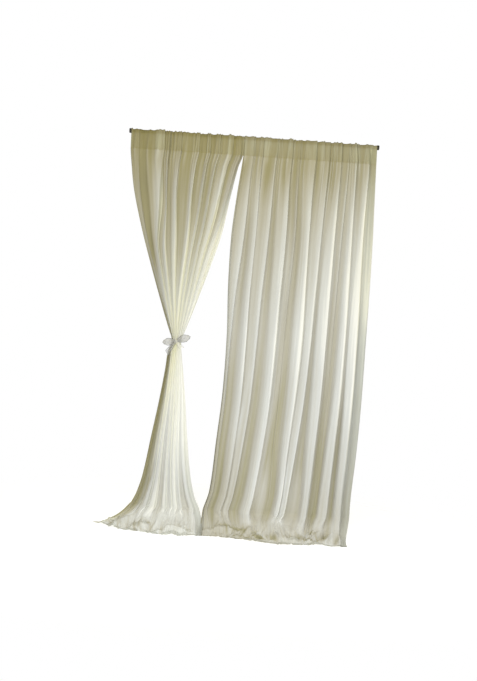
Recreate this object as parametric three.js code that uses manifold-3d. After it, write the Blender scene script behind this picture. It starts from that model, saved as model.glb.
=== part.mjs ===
// A pair of sheer backdrop curtains gathered on one slim rod. The left panel is drawn in by a ribbon
// bow and flares below it, the right panel hangs straight, and both trail a little on the floor.
// Millimetres. The origin is the middle of the rod's axis, +X runs along the rod, -Y is the front, +Z is up.
import * as THREE from "three";
import { mergeVertices } from "three/addons/utils/BufferGeometryUtils.js";
import Module from "manifold-3d";

// Rod and end caps
const ROD_HEIGHT = 2000;
const ROD_LENGTH = 1276;
const ROD_DIAMETER = 14;
const ROD_SIDES = 24;
const CAP_DIAMETER = 24;
const CAP_LENGTH = 11;
const CAP_CHAMFER = 2;
const CAP_SOCKET = 6;
const FIT_GAP = 0.3;

// Cloth and the pocket sewn round the rod
const CLOTH = 1.2;
const POCKET_DROP = 88;
const POCKET_GATHER = 6;
const POCKET_BACK_GATHER = 0.3;
const POCKET_TURNS = 5;
const POCKET_SPREAD = 1.8;
const STITCH_HEIGHT = 6;
const SEAT_GAP = 0.35;

// The hanging folds and their turn onto the floor
const FIRST_DROP = 150;
const FALL_DROP = 1900;
const HEM_WAVE = 16;
const HEM_OVERHANG = 0.7;
const MEAN_RELIEF = 0.5;
const BUNDLE_ROUND = 0.96;
const EVEN_FACE = [0.25, 0.75];
const WIDE_GAP = 26;
const NARROW_LIFT = 0.75;

// Ribbon tie
const TIE_DROP = 1054;
const TIE_GAP = 0.8;
const RIBBON = 1;
const BAND_HEIGHT = 12;
const BAND_STEPS = 32;
const KNOT = { width: 17, depth: 13, height: 18, forward: 5, pinch: 4, rounds: 16, rings: 10 };
const LOOP = { steps: 16, belly: 12, start: 0.02, tangent: 0.01, flare: 0.8 };
const END_STEPS = 8;

// The gathered bundle under the tie
const WAIST = { x: -324, y: -10, halfWidth: 26, halfDepth: 22 };
const WAIST_SECTION = {
  left: WAIST.x - WAIST.halfWidth,
  right: WAIST.x + WAIST.halfWidth,
  depth: 2 * WAIST.halfDepth,
  plane: WAIST.y,
  round: 1,
  bulge: 0,
};

// Where the fold tables' columns hold on each panel: heights below the rod's axis.
const LEFT_LEVELS = { top: 400, high: 700, middle: TIE_DROP, low: 1600, foot: 1850 };
const RIGHT_LEVELS = { top: FIRST_DROP, high: 500, middle: 1000, low: 1500, foot: 1800 };

// Outline of each hanging panel: side edges, depth of its folds from front to back, the plane they
// wave about, how far the gathered cloth is rounded into a bundle, and how far its sides turn back.
const LEFT_OUTLINE = [
  { drop: 0, left: -625, right: -51, depth: 12, plane: -14, round: 0, bulge: 0 },
  { drop: POCKET_DROP, left: -622, right: -54, depth: 15, plane: -14, round: 0, bulge: 0 },
  { drop: 300, left: -592, right: -100, depth: 27, plane: -11, round: 0, bulge: 4 },
  { drop: 500, left: -540, right: -134, depth: 36, plane: -10, round: 0, bulge: 14 },
  { drop: 700, left: -476, right: -190, depth: 42, plane: -10, round: 0.1, bulge: 28 },
  { drop: 850, left: -417, right: -244, depth: 44, plane: -10, round: 0.4, bulge: 30 },
  { drop: 950, left: -381, right: -273, depth: 44, plane: -10, round: 0.8, bulge: 16 },
  { drop: 1010, left: -358, right: -291, depth: 44, plane: -10, round: 1, bulge: 4 },
  { drop: 1044, ...WAIST_SECTION },
  { drop: 1064, ...WAIST_SECTION },
  { drop: 1110, left: -364, right: -294, depth: 44, plane: -10, round: 1, bulge: 6 },
  { drop: 1200, left: -373, right: -282, depth: 45, plane: -10, round: 0.9, bulge: 22 },
  { drop: 1350, left: -393, right: -262, depth: 48, plane: -10, round: 0.6, bulge: 44 },
  { drop: 1550, left: -423, right: -239, depth: 52, plane: -10, round: 0.35, bulge: 60 },
  { drop: 1750, left: -453, right: -208, depth: 56, plane: -12, round: 0.2, bulge: 66 },
  { drop: 1850, left: -480, right: -183, depth: 58, plane: -16, round: 0.1, bulge: 64 },
  { drop: FALL_DROP, left: -503, right: -166, depth: 60, plane: -20, round: 0, bulge: 60 },
];
const RIGHT_OUTLINE = [
  { drop: 0, left: -49, right: 625, depth: 12, plane: -14, round: 0, bulge: 0 },
  { drop: POCKET_DROP, left: -50, right: 626, depth: 15, plane: -14, round: 0, bulge: 0 },
  { drop: 300, left: -69, right: 634, depth: 24, plane: -11, round: 0, bulge: 0 },
  { drop: 500, left: -82, right: 639, depth: 32, plane: -10, round: 0, bulge: 0 },
  { drop: 750, left: -80, right: 641, depth: 40, plane: -10, round: 0, bulge: 0 },
  { drop: 1000, left: -69, right: 640, depth: 46, plane: -10, round: 0, bulge: 0 },
  { drop: 1300, left: -72, right: 639, depth: 50, plane: -10, round: 0, bulge: 0 },
  { drop: 1550, left: -88, right: 632, depth: 54, plane: -10, round: 0, bulge: 0 },
  { drop: 1800, left: -105, right: 618, depth: 58, plane: -14, round: 0, bulge: 0 },
  { drop: FALL_DROP, left: -124, right: 617, depth: 60, plane: -20, round: 0, bulge: 0 },
];

// A row for each fold: where its forward face starts and ends along X at each level, then its depth there
// as a share of the outline's. The tie gathers the left panel evenly.
const LEFT_FACES = [
  { top: [-564, -537], high: [-472, -452], low: [-426, -418], foot: [-474, -462] },
  { top: [-502, -443], high: [-425, -394], low: [-412, -400], foot: [-448, -436] },
  { top: [-433, -411], high: [-388, -377], low: [-388, -374], foot: [-424, -400] },
  { top: [-389, -364], high: [-362, -349], low: [-368, -354], foot: [-394, -368] },
  { top: [-325, -298], high: [-320, -305], low: [-338, -326], foot: [-334, -318] },
  { top: [-270, -251], high: [-286, -276], low: [-321, -310], foot: [-308, -292] },
  { top: [-221, -201], high: [-259, -250], low: [-305, -291], foot: [-286, -268] },
  { top: [-192, -157], high: [-238, -220], low: [-287, -272], foot: [-262, -246] },
  { top: [-142, -122], high: [-212, -194], low: [-261, -244], foot: [-220, -194] },
];
const LEFT_DEPTHS = [
  { top: 0.5, high: 0.55, middle: 0.9, low: 0.5, foot: 0.4 },
  { top: 1, high: 1, middle: 1, low: 0.7, foot: 0.6 },
  { top: 0.8, high: 0.8, middle: 1, low: 1, foot: 1 },
  { top: 0.95, high: 0.95, middle: 1, low: 0.9, foot: 0.9 },
  { top: 1, high: 1, middle: 1, low: 0.95, foot: 0.7 },
  { top: 0.8, high: 0.8, middle: 1, low: 0.8, foot: 0.9 },
  { top: 0.8, high: 0.8, middle: 1, low: 1, foot: 1 },
  { top: 1, high: 1, middle: 1, low: 0.9, foot: 0.9 },
  { top: 0.7, high: 0.7, middle: 0.9, low: 0.8, foot: 0.7 },
];
const RIGHT_FACES = [
  { top: [-47, -4], high: [-76, -18], middle: [-66, -48], low: [-80, -66], foot: [-99, -84] },
  { top: [10, 46], high: [8, 41], middle: [-8, 30], low: [-28, 12], foot: [-49, -16] },
  { top: [70, 116], high: [52, 107], middle: [40, 88], low: [20, 60], foot: [-8, 23] },
  { top: [140, 195], high: [136, 196], middle: [132, 184], low: [108, 160], foot: [76, 125] },
  { top: [222, 238], high: [228, 242], middle: [210, 224], low: [188, 206], foot: [152, 200] },
  { top: [258, 316], high: [272, 313], middle: [262, 320], low: [244, 284], foot: [236, 264] },
  { top: [340, 386], high: [324, 375], middle: [328, 360], low: [292, 328], foot: [270, 297] },
  { top: [418, 450], high: [393, 438], middle: [382, 434], low: [372, 420], foot: [369, 404] },
  { top: [472, 488], high: [464, 480], middle: [456, 470], low: [440, 455], foot: [425, 438] },
  { top: [502, 528], high: [505, 531], middle: [498, 533], low: [476, 518], foot: [457, 504] },
  { top: [556, 592], high: [561, 589], middle: [549, 595], low: [545, 586], foot: [535, 573] },
];
const RIGHT_DEPTHS = [
  { top: 0.9, high: 0.9, middle: 0.7, low: 0.35, foot: 0.3 },
  { top: 1, high: 1, middle: 0.95, low: 0.95, foot: 0.9 },
  { top: 0.7, high: 0.8, middle: 0.85, low: 0.9, foot: 0.9 },
  { top: 0.9, high: 1, middle: 1, low: 1, foot: 1 },
  { top: 0.75, high: 0.5, middle: 0.15, low: 0.3, foot: 0.55 },
  { top: 1, high: 1, middle: 1, low: 1, foot: 1 },
  { top: 0.7, high: 0.8, middle: 0.9, low: 1, foot: 1 },
  { top: 0.9, high: 0.85, middle: 0.85, low: 0.9, foot: 0.95 },
  { top: 0.6, high: 0.4, middle: 0.1, low: 0.05, foot: 0.05 },
  { top: 1, high: 1, middle: 0.95, low: 1, foot: 1 },
  { top: 1, high: 1, middle: 1, low: 1, foot: 0.9 },
];

// The hem on the floor, from the left edge over each fold's crown to the right edge: its place, and the
// height of the fold's arch there.
const LEFT_HEM = [
  { x: -660, y: -8, swell: 0 },
  { x: -632, y: -72, swell: 16 },
  { x: -580, y: -138, swell: 30 },
  { x: -498, y: -186, swell: 34 },
  { x: -418, y: -206, swell: 38 },
  { x: -348, y: -234, swell: 34 },
  { x: -302, y: -230, swell: 20 },
  { x: -260, y: -226, swell: 34 },
  { x: -214, y: -248, swell: 38 },
  { x: -172, y: -230, swell: 26 },
  { x: -147, y: -204, swell: 0 },
];
const RIGHT_HEM = [
  { x: -141, y: -186, swell: 0 },
  { x: -114, y: -198, swell: 20 },
  { x: -52, y: -198, swell: 40 },
  { x: 20, y: -206, swell: 34 },
  { x: 98, y: -232, swell: 36 },
  { x: 164, y: -244, swell: 20 },
  { x: 228, y: -262, swell: 40 },
  { x: 286, y: -276, swell: 44 },
  { x: 350, y: -258, swell: 36 },
  { x: 404, y: -246, swell: 18 },
  { x: 462, y: -230, swell: 40 },
  { x: 540, y: -242, swell: 36 },
  { x: 588, y: -226, swell: 0 },
];

const PANELS = [
  {
    name: "curtain_left",
    outline: LEFT_OUTLINE,
    levels: LEFT_LEVELS,
    faces: LEFT_FACES,
    depths: LEFT_DEPTHS,
    hem: LEFT_HEM,
    edgeRelief: { left: 0.1, right: 0.3 },
  },
  {
    name: "curtain_right",
    outline: RIGHT_OUTLINE,
    levels: RIGHT_LEVELS,
    faces: RIGHT_FACES,
    depths: RIGHT_DEPTHS,
    hem: RIGHT_HEM,
    edgeRelief: { left: 0.3, right: 0.2 },
  },
];

// How the cloth turns onto the floor: the shares of the way forward and sideways to its hem, the height
// of its valleys, how far the folds have tipped from facing forward to facing up, and the share of each
// fold's arch.
const FLOOR_STATIONS = [
  { run: 0.05, spread: 0.24, rise: 54, turn: 0.3, swell: 0.5 },
  { run: 0.16, spread: 0.52, rise: 20, turn: 0.7, swell: 0.85 },
  { run: 0.36, spread: 0.74, rise: 4, turn: 1, swell: 0.8 },
  { run: 0.6, spread: 0.88, rise: 0, turn: 1, swell: 0.6 },
  { run: 0.82, spread: 0.96, rise: 0, turn: 1, swell: 0.4 },
  { run: 1, spread: 1, rise: 0, turn: 1, swell: 0.28 },
];

// The lines across one fold: place along the hem from its crown, side of the face it follows, the step
// from that side as a share of the room there, and its relief from the valley at 0 to the crown at 1, both
// at the heading, where a fold rises slowly to a sharp right edge, and at the foot, where it is full. Lines
// in the gap behind a fold (0) or before it (-1) name that gap.
const FOLD_LINES = [
  { hem: -0.36, side: "start", step: -0.24, relief: { top: 0.2, foot: 0.05 }, gap: -1 },
  { hem: -0.22, side: "start", step: 0.24, relief: { top: 0.55, foot: 0.9 } },
  { hem: 0, side: "crown", step: 0, relief: { top: 0.8, foot: 1 } },
  { hem: 0.22, side: "end", step: -0.06, relief: { top: 1, foot: 0.95 } },
  { hem: 0.36, side: "end", step: 0.1, relief: { top: 0.02, foot: 0.05 }, gap: 0 },
  { hem: 0.5, side: "valley", step: 0, relief: { top: 0.08, foot: 0 }, gap: 0 },
];

// The bow's loops and free ends: direction from the knot in degrees, reach, half the ribbon's height at
// the tip, and how far an end bellies forward.
const BOW_LOOPS = [
  { name: "left", toward: 191, reach: 72, tip: 19 },
  { name: "right", toward: 21, reach: 76, tip: 20 },
];
const BOW_ENDS = [
  { name: "left", toward: 236, reach: 78, tip: 12, forward: 6 },
  { name: "right", toward: 312, reach: 46, tip: 10, forward: 3 },
];

const chiffon = new THREE.MeshStandardMaterial({ color: "#d9d5bd", roughness: 0.85, side: THREE.DoubleSide });
const organza = new THREE.MeshStandardMaterial({ color: "#dcdcd6", roughness: 0.5, side: THREE.DoubleSide });
const darkMetal = new THREE.MeshStandardMaterial({ color: "#4b4a44", roughness: 0.4, metalness: 0.8 });
const blackCap = new THREE.MeshStandardMaterial({ color: "#26251f", roughness: 0.6, metalness: 0.1 });

const { lerp, degToRad } = THREE.MathUtils;

// The smooth value of one column of a table, at a place between its rows.
function along(rows, place, column, at) {
  const last = rows.length - 1;
  if (at <= rows[0][place]) return rows[0][column];
  if (at >= rows[last][place]) return rows[last][column];
  const i = rows.findIndex((row) => row[place] > at) - 1;
  const slope = (a, b) => (rows[b][column] - rows[a][column]) / (rows[b][place] - rows[a][place]);
  const span = rows[i + 1][place] - rows[i][place];
  const t = (at - rows[i][place]) / span;
  const leave = slope(Math.max(i - 1, 0), i + 1) * span;
  const arrive = slope(i, Math.min(i + 2, last)) * span;
  const rise = rows[i + 1][column] - rows[i][column];
  const ease = t * t * (3 - 2 * t);
  return rows[i][column] + rise * ease + t * (1 - t) * ((1 - t) * leave - t * arrive);
}

// The forward face of fold i at a level, as shares of the panel's width there. Where the table leaves it
// out, the folds share the width evenly.
function faceAt(panel, i, level) {
  const face = panel.faces[i][level];
  if (!face) return EVEN_FACE.map((place) => (i + place) / panel.faces.length);
  const left = along(panel.outline, "drop", "left", panel.levels[level]);
  const right = along(panel.outline, "drop", "right", panel.levels[level]);
  return face.map((x) => (x - left) / (right - left));
}

// How high the cloth stays in the gap between fold i and the next: it can't fall back between close folds.
function gapLift(panel, i, level) {
  const face = panel.faces[i]?.[level];
  const next = panel.faces[i + 1]?.[level];
  if (!face || !next) return 0;
  const filled = Math.max(0, 1 - (next[0] - face[1]) / WIDE_GAP);
  return NARROW_LIFT * filled * Math.min(panel.depths[i][level], panel.depths[i + 1][level]);
}

// The relief of one of fold i's lines at a level.
function lineRelief(panel, i, level, shape) {
  const names = Object.keys(panel.levels);
  const down = names.indexOf(level) / (names.length - 1);
  const own = panel.depths[i][level] * lerp(shape.relief.top, shape.relief.foot, down);
  return shape.gap === undefined ? own : Math.max(own, gapLift(panel, i + shape.gap, level));
}

// One line's share of the panel's width at a level.
function lineShare(panel, i, level, shape) {
  const [start, end] = faceAt(panel, i, level);
  if (shape.side === "crown") return (start + end) / 2;
  const before = i > 0 ? faceAt(panel, i - 1, level)[1] : 0;
  const after = i + 1 < panel.faces.length ? faceAt(panel, i + 1, level)[0] : 1;
  if (shape.side === "valley") return (end + after) / 2;
  const room = Math.min(end - start, shape.side === "start" ? start - before : after - end);
  return (shape.side === "start" ? start : end) + shape.step * room;
}

// The lines that run down a panel from heading to hem, left edge to right edge, each with its shares of
// the width and its relief at every level.
function panelLines(panel) {
  const levels = Object.entries(panel.levels);
  const lastFold = panel.faces.length - 1;
  const edge = (share, relief, hem) => ({
    hem,
    levels: levels.map(([, drop]) => ({ drop, share, relief })),
  });
  const foldLine = (i, shape) => ({
    hem: i + shape.hem,
    levels: levels.map(([level, drop]) => ({
      drop,
      share: lineShare(panel, i, level, shape),
      relief: lineRelief(panel, i, level, shape),
    })),
  });
  const lines = [edge(0, panel.edgeRelief.left, -HEM_OVERHANG)];
  for (let i = 0; i <= lastFold; i += 1) {
    for (const shape of FOLD_LINES) {
      if (i < lastFold || shape.side !== "valley") lines.push(foldLine(i, shape));
    }
  }
  lines.push(edge(1, panel.edgeRelief.right, lastFold + HEM_OVERHANG));
  return lines;
}

// A line's point where the panel hangs free.
function hangingPoint(panel, line, drop) {
  const column = (name) => along(panel.outline, "drop", name, drop);
  const share = along(line.levels, "drop", "share", drop);
  const relief = along(line.levels, "drop", "relief", drop);
  const across = 2 * share - 1;
  const bundled = Math.sqrt(1 - BUNDLE_ROUND * across * across);
  const depth = column("depth") * lerp(1, bundled, column("round"));
  const x = lerp(column("left"), column("right"), share);
  const turnedBack = column("plane") + column("bulge") * (1 - bundled);
  return new THREE.Vector3(x, turnedBack - depth * (relief - MEAN_RELIEF), -drop);
}

// A line's points round the rod: up the pocket's back, over the rod and down its front to the stitches.
function pocketPoints(panel, line) {
  const stitch = hangingPoint(panel, line, POCKET_DROP);
  const x = hangingPoint(panel, line, 0).x;
  const relief = line.levels[0].relief;
  const corner = Math.cos(Math.PI / POCKET_TURNS / 2);
  const seat = (ROD_DIAMETER / 2 + SEAT_GAP) / corner + CLOTH / 2;
  const arc = [];
  for (let k = 0; k <= POCKET_TURNS; k += 1) {
    const turned = k / POCKET_TURNS;
    const angle = Math.PI * turned;
    const radius = seat + POCKET_GATHER * relief * lerp(POCKET_BACK_GATHER, 1, turned);
    arc.push(new THREE.Vector3(x, radius * Math.cos(angle), radius * Math.sin(angle)));
  }
  const behind = stitch.clone().setY(stitch.y + POCKET_SPREAD);
  const backMiddle = behind.clone().add(arc[0]).divideScalar(2);
  const frontMiddle = stitch.clone().add(arc[POCKET_TURNS]).divideScalar(2);
  return [behind, backMiddle, ...arc, frontMiddle, stitch];
}

// The hem's rows with their places counted in folds, each crown at a whole number.
function hemRows(panel) {
  const lastFold = panel.faces.length - 1;
  const lastRow = panel.hem.length - 1;
  return panel.hem.map((row, i) => {
    if (i === 0) return { ...row, place: -HEM_OVERHANG };
    return { ...row, place: i === lastRow ? lastFold + HEM_OVERHANG : i - 1 };
  });
}

// A line's points on the floor, from where the cloth starts to turn to its hem.
function floorPoints(panel, line) {
  const rows = hemRows(panel);
  const low = hangingPoint(panel, line, FALL_DROP);
  const plane = along(panel.outline, "drop", "plane", FALL_DROP);
  const shape = Math.min(line.levels.at(-1).relief, 1);
  const swell = along(rows, "place", "swell", line.hem) * shape;
  const hemX = along(rows, "place", "x", line.hem);
  const hemY = along(rows, "place", "y", line.hem) + HEM_WAVE * (1 - shape);
  return FLOOR_STATIONS.map((station) => {
    const hangingY = lerp(low.y, plane, station.turn);
    const height = station.rise + swell * station.swell * station.turn;
    return new THREE.Vector3(
      lerp(low.x, hemX, station.spread),
      hangingY + (hemY - plane) * station.run,
      -ROD_HEIGHT + CLOTH / 2 + height,
    );
  });
}

// A closed solid from indexed quads.
function solidGeometry(points, quads) {
  const geometry = new THREE.BufferGeometry();
  const coordinates = points.flatMap((point) => point.toArray());
  geometry.setAttribute("position", new THREE.Float32BufferAttribute(coordinates, 3));
  geometry.setIndex(quads.flatMap(([a, b, c, d]) => [a, b, c, a, c, d]));
  return geometry;
}

// The middle of a panel's cloth: a column of points for each line, with its stitches in one row.
function panelColumns(panel) {
  const below = panel.outline.map((row) => row.drop).filter((drop) => drop > FIRST_DROP);
  const drops = [POCKET_DROP + STITCH_HEIGHT, FIRST_DROP, ...below];
  return panelLines(panel).map((line) => [
    ...pocketPoints(panel, line),
    ...drops.map((drop) => hangingPoint(panel, line, drop)),
    ...floorPoints(panel, line),
  ]);
}

// A panel's solid: its sheet thickened along its normals, with the pocket sewn shut below the rod.
function panelGeometry(panel) {
  const columns = panelColumns(panel);
  const last = columns.length - 1;
  const hem = columns[0].length - 1;
  const sewn = columns[0].findIndex((point) => point.z === -(POCKET_DROP + STITCH_HEIGHT));
  const points = [];
  columns.forEach((column, i) => {
    column.forEach((point, j) => {
      const beside = columns[Math.min(i + 1, last)][j].clone().sub(columns[Math.max(i - 1, 0)][j]);
      const below = column[Math.min(j + 1, hem)].clone().sub(column[Math.max(j - 1, 0)]);
      const half = below.cross(beside).setLength(CLOTH / 2);
      points.push(point.clone().add(half), point.clone().sub(half));
    });
  });
  const front = (i, j) => 2 * (i * (hem + 1) + j);
  const back = (i, j) => front(i, j) + 1;
  const quads = [];
  for (let i = 0; i < last; i += 1) {
    const next = i + 1;
    for (let j = 0; j < hem; j += 1) {
      const isSewn = j + 1 === sewn;
      quads.push([front(i, j), front(i, j + 1), front(next, j + 1), front(next, j)]);
      if (!isSewn) quads.push([back(i, j), back(next, j), back(next, j + 1), back(i, j + 1)]);
    }
    quads.push([front(i, hem), back(i, hem), back(next, hem), front(next, hem)]);
    quads.push([back(i, sewn - 1), back(next, sewn - 1), back(next, 0), back(i, 0)]);
    quads.push([front(i, 0), front(next, 0), back(next, sewn), back(i, sewn)]);
  }
  for (let j = 0; j < hem; j += 1) {
    quads.push([front(0, j), back(0, j), back(0, j + 1), front(0, j + 1)]);
    quads.push([front(last, j), front(last, j + 1), back(last, j + 1), back(last, j)]);
  }
  quads.push([back(0, 0), front(0, 0), back(0, sewn), back(0, sewn - 1)]);
  quads.push([back(last, 0), back(last, sewn - 1), back(last, sewn), front(last, 0)]);
  return solidGeometry(points, quads);
}

// A ribbon's solid along stations with a centre, half its width as a vector, and its face's normal.
function ribbonGeometry(stations, closed) {
  const corners = 4;
  const points = stations.flatMap(({ centre, half, normal }) => {
    const thick = normal.clone().setLength(RIBBON / 2);
    return [
      centre.clone().add(half).add(thick),
      centre.clone().sub(half).add(thick),
      centre.clone().sub(half).sub(thick),
      centre.clone().add(half).sub(thick),
    ];
  });
  const count = stations.length;
  const quads = [];
  for (let k = 0; k < (closed ? count : count - 1); k += 1) {
    const here = corners * k;
    const next = corners * ((k + 1) % count);
    for (let side = 0; side < corners; side += 1) {
      const other = (side + 1) % corners;
      quads.push([here + side, here + other, next + other, next + side]);
    }
  }
  if (!closed) {
    const end = corners * (count - 1);
    quads.push([3, 2, 1, 0], [end, end + 1, end + 2, end + 3]);
  }
  return solidGeometry(points, quads);
}

// The band round the gathered cloth.
function bandGeometry() {
  const outward = CLOTH / 2 + TIE_GAP + RIBBON / 2;
  const a = WAIST.halfWidth + outward;
  const b = WAIST.halfDepth + outward;
  const stations = [];
  for (let k = 0; k < BAND_STEPS; k += 1) {
    const angle = (2 * Math.PI * k) / BAND_STEPS;
    const x = Math.cos(angle);
    const y = Math.sin(angle);
    stations.push({
      centre: new THREE.Vector3(WAIST.x + a * x, WAIST.y + b * y, -TIE_DROP),
      half: new THREE.Vector3(0, 0, BAND_HEIGHT / 2),
      normal: new THREE.Vector3(x / a, y / b, 0),
    });
  }
  return ribbonGeometry(stations, true);
}

const KNOT_CENTRE = new THREE.Vector3(
  WAIST.x,
  WAIST.y - WAIST.halfDepth - CLOTH - TIE_GAP - RIBBON - KNOT.forward,
  -TIE_DROP,
);

// A direction in the plane of the bow's front, in degrees anticlockwise from +X.
function bowDirection(degrees) {
  return new THREE.Vector3(Math.cos(degToRad(degrees)), 0, Math.sin(degToRad(degrees)));
}

// One loop of the bow: out from the knot along its front layer and home along its back layer.
function loopGeometry({ toward, reach, tip }) {
  const out = bowDirection(toward);
  const up = bowDirection(toward + 90);
  const place = (t) => {
    const point = KNOT_CENTRE.clone().addScaledVector(out, reach * Math.sin(Math.PI * t));
    return point.setY(point.y - LOOP.belly * Math.sin(2 * Math.PI * t));
  };
  const stations = [];
  for (let k = 0; k <= LOOP.steps; k += 1) {
    const t = lerp(LOOP.start, 1 - LOOP.start, k / LOOP.steps);
    const forward = place(t + LOOP.tangent).sub(place(t - LOOP.tangent));
    const width = lerp(KNOT.pinch, tip, Math.sin(Math.PI * t) ** LOOP.flare);
    const half = up.clone().multiplyScalar(width);
    stations.push({ centre: place(t), half, normal: forward.cross(up) });
  }
  return ribbonGeometry(stations, false);
}

// One free end of the bow, hanging from the knot in front of the cloth.
function endGeometry({ toward, reach, tip, forward }) {
  const out = bowDirection(toward);
  const side = bowDirection(toward + 90);
  const stations = [];
  for (let k = 0; k <= END_STEPS; k += 1) {
    const t = k / END_STEPS;
    const centre = KNOT_CENTRE.clone().addScaledVector(out, reach * t);
    centre.y -= forward * Math.sin(Math.PI * t);
    const half = side.clone().multiplyScalar(lerp(KNOT.pinch, tip, Math.sqrt(t)));
    stations.push({ centre, half, normal: new THREE.Vector3(0, -1, 0) });
  }
  return ribbonGeometry(stations, false);
}

const wasm = await Module();
wasm.setup();

// A closed geometry as a solid that can be joined.
function asSolid(geometry) {
  const bare = new THREE.BufferGeometry();
  bare.setAttribute("position", geometry.getAttribute("position"));
  bare.setIndex(geometry.getIndex());
  const merged = mergeVertices(bare, 1e-3);
  const triVerts = new Uint32Array(merged.index.array);
  const vertProperties = new Float32Array(merged.getAttribute("position").array);
  return new wasm.Manifold(new wasm.Mesh({ numProp: 3, vertProperties, triVerts }));
}

// The whole tie, one length of ribbon: the band, the knot, two loops and two free ends.
function tieGeometry() {
  const knot = new THREE.SphereGeometry(0.5, KNOT.rounds, KNOT.rings);
  knot.scale(KNOT.width, KNOT.depth, KNOT.height);
  knot.translate(KNOT_CENTRE.x, KNOT_CENTRE.y, KNOT_CENTRE.z);
  const ribbons = [bandGeometry(), knot, ...BOW_LOOPS.map(loopGeometry), ...BOW_ENDS.map(endGeometry)];
  const tie = ribbons.map(asSolid).reduce((joined, ribbon) => joined.add(ribbon));
  const mesh = tie.getMesh();
  const geometry = new THREE.BufferGeometry();
  geometry.setAttribute("position", new THREE.BufferAttribute(mesh.vertProperties, mesh.numProp));
  geometry.setIndex(new THREE.BufferAttribute(mesh.triVerts, 1));
  return geometry;
}

// A solid turned about the rod's axis from a profile of [radius, distance along X].
function turned(profile) {
  const outline = profile.map(([radius, x]) => new THREE.Vector2(radius, x));
  return new THREE.LatheGeometry(outline, ROD_SIDES).rotateZ(-Math.PI / 2);
}

function rodGeometry() {
  const radius = ROD_DIAMETER / 2;
  const half = ROD_LENGTH / 2 - CAP_LENGTH + CAP_SOCKET;
  return turned([[0, -half], [radius, -half], [radius, half], [0, half]]);
}

// The right-hand cap: a cup pushed over the rod's end, with a flat outer face.
function capGeometry() {
  const outside = ROD_LENGTH / 2;
  const mouth = outside - CAP_LENGTH;
  const radius = CAP_DIAMETER / 2;
  const bore = ROD_DIAMETER / 2 + FIT_GAP;
  const floor = mouth + CAP_SOCKET + FIT_GAP;
  return turned([
    [0, floor],
    [bore, floor],
    [bore, mouth],
    [radius, mouth],
    [radius, outside - CAP_CHAMFER],
    [radius - CAP_CHAMFER, outside],
    [0, outside],
  ]);
}

// Adds a named mesh to a group.
function addPiece(group, name, geometry, material) {
  const piece = new THREE.Mesh(geometry, material);
  piece.name = name;
  group.add(piece);
  return piece;
}

const curtains = new THREE.Group();
addPiece(curtains, "rod", rodGeometry(), darkMetal);
addPiece(curtains, "rod_cap_right", capGeometry(), blackCap);
addPiece(curtains, "rod_cap_left", capGeometry(), blackCap).rotation.z = Math.PI;
for (const panel of PANELS) addPiece(curtains, panel.name, panelGeometry(panel), chiffon);
addPiece(curtains, "tie_ribbon", tieGeometry(), organza);

export default curtains;
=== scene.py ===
# %% [markdown]
# # Sheer backdrop curtains on a rod
# Two panels of ivory chiffon share one slim dark rod. The left panel is drawn in by an organza bow and
# flares below it, the right panel hangs straight, and both trail on the floor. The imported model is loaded
# first, as a fixed frame, and everything after it is made in that frame: metres, the origin in the middle
# of the rod's axis, -Y towards the viewer, +Z up.

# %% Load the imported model
import math

import bpy
import numpy as np
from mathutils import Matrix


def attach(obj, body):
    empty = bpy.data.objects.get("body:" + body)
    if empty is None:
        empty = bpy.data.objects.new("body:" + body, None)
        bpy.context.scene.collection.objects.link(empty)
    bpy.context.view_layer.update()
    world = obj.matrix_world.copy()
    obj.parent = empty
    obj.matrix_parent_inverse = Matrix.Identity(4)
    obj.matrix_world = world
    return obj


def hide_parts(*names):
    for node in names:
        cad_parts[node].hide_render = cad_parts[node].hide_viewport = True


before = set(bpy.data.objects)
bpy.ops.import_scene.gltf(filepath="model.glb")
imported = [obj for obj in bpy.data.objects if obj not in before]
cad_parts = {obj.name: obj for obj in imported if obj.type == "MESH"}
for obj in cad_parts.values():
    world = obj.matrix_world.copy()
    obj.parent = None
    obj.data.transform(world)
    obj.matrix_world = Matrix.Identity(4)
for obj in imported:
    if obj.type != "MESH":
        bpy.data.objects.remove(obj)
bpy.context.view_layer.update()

print("nodes:", sorted(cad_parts))

# %% [markdown]
# ## How a panel is described
# A gathered curtain is a flat cut of cloth, pushed together until it stands in folds. A cloth simulation
# could drop it from the flat, but the photograph's own folds would be lost. So each panel is described as a
# dressmaker would pin it: an outline, then a row for each fold. Sizes in these tables are millimetres, and
# heights are drops below the rod's axis. The tables are close to those of the solids, so the cloth lies on
# the solids' folds.

# %% Sizes of the cloth
MM = 0.001
FLAT_WIDTH = 914.0
FLAT_LENGTH = 2400.0
SIDE_HEM = 14.0
FLOOR_HEM = 24.0
POCKET_DROP = 88.0
FIRST_DROP = 150.0
FALL_DROP = 1900.0
FLOOR_DROP = 2000.0
TIE_DROP = 1054.0
WAIST_X = -324.0
WAIST_Y = -10.0
WAIST_HALF_WIDTH = 26.0
WAIST_HALF_DEPTH = 22.0

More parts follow.
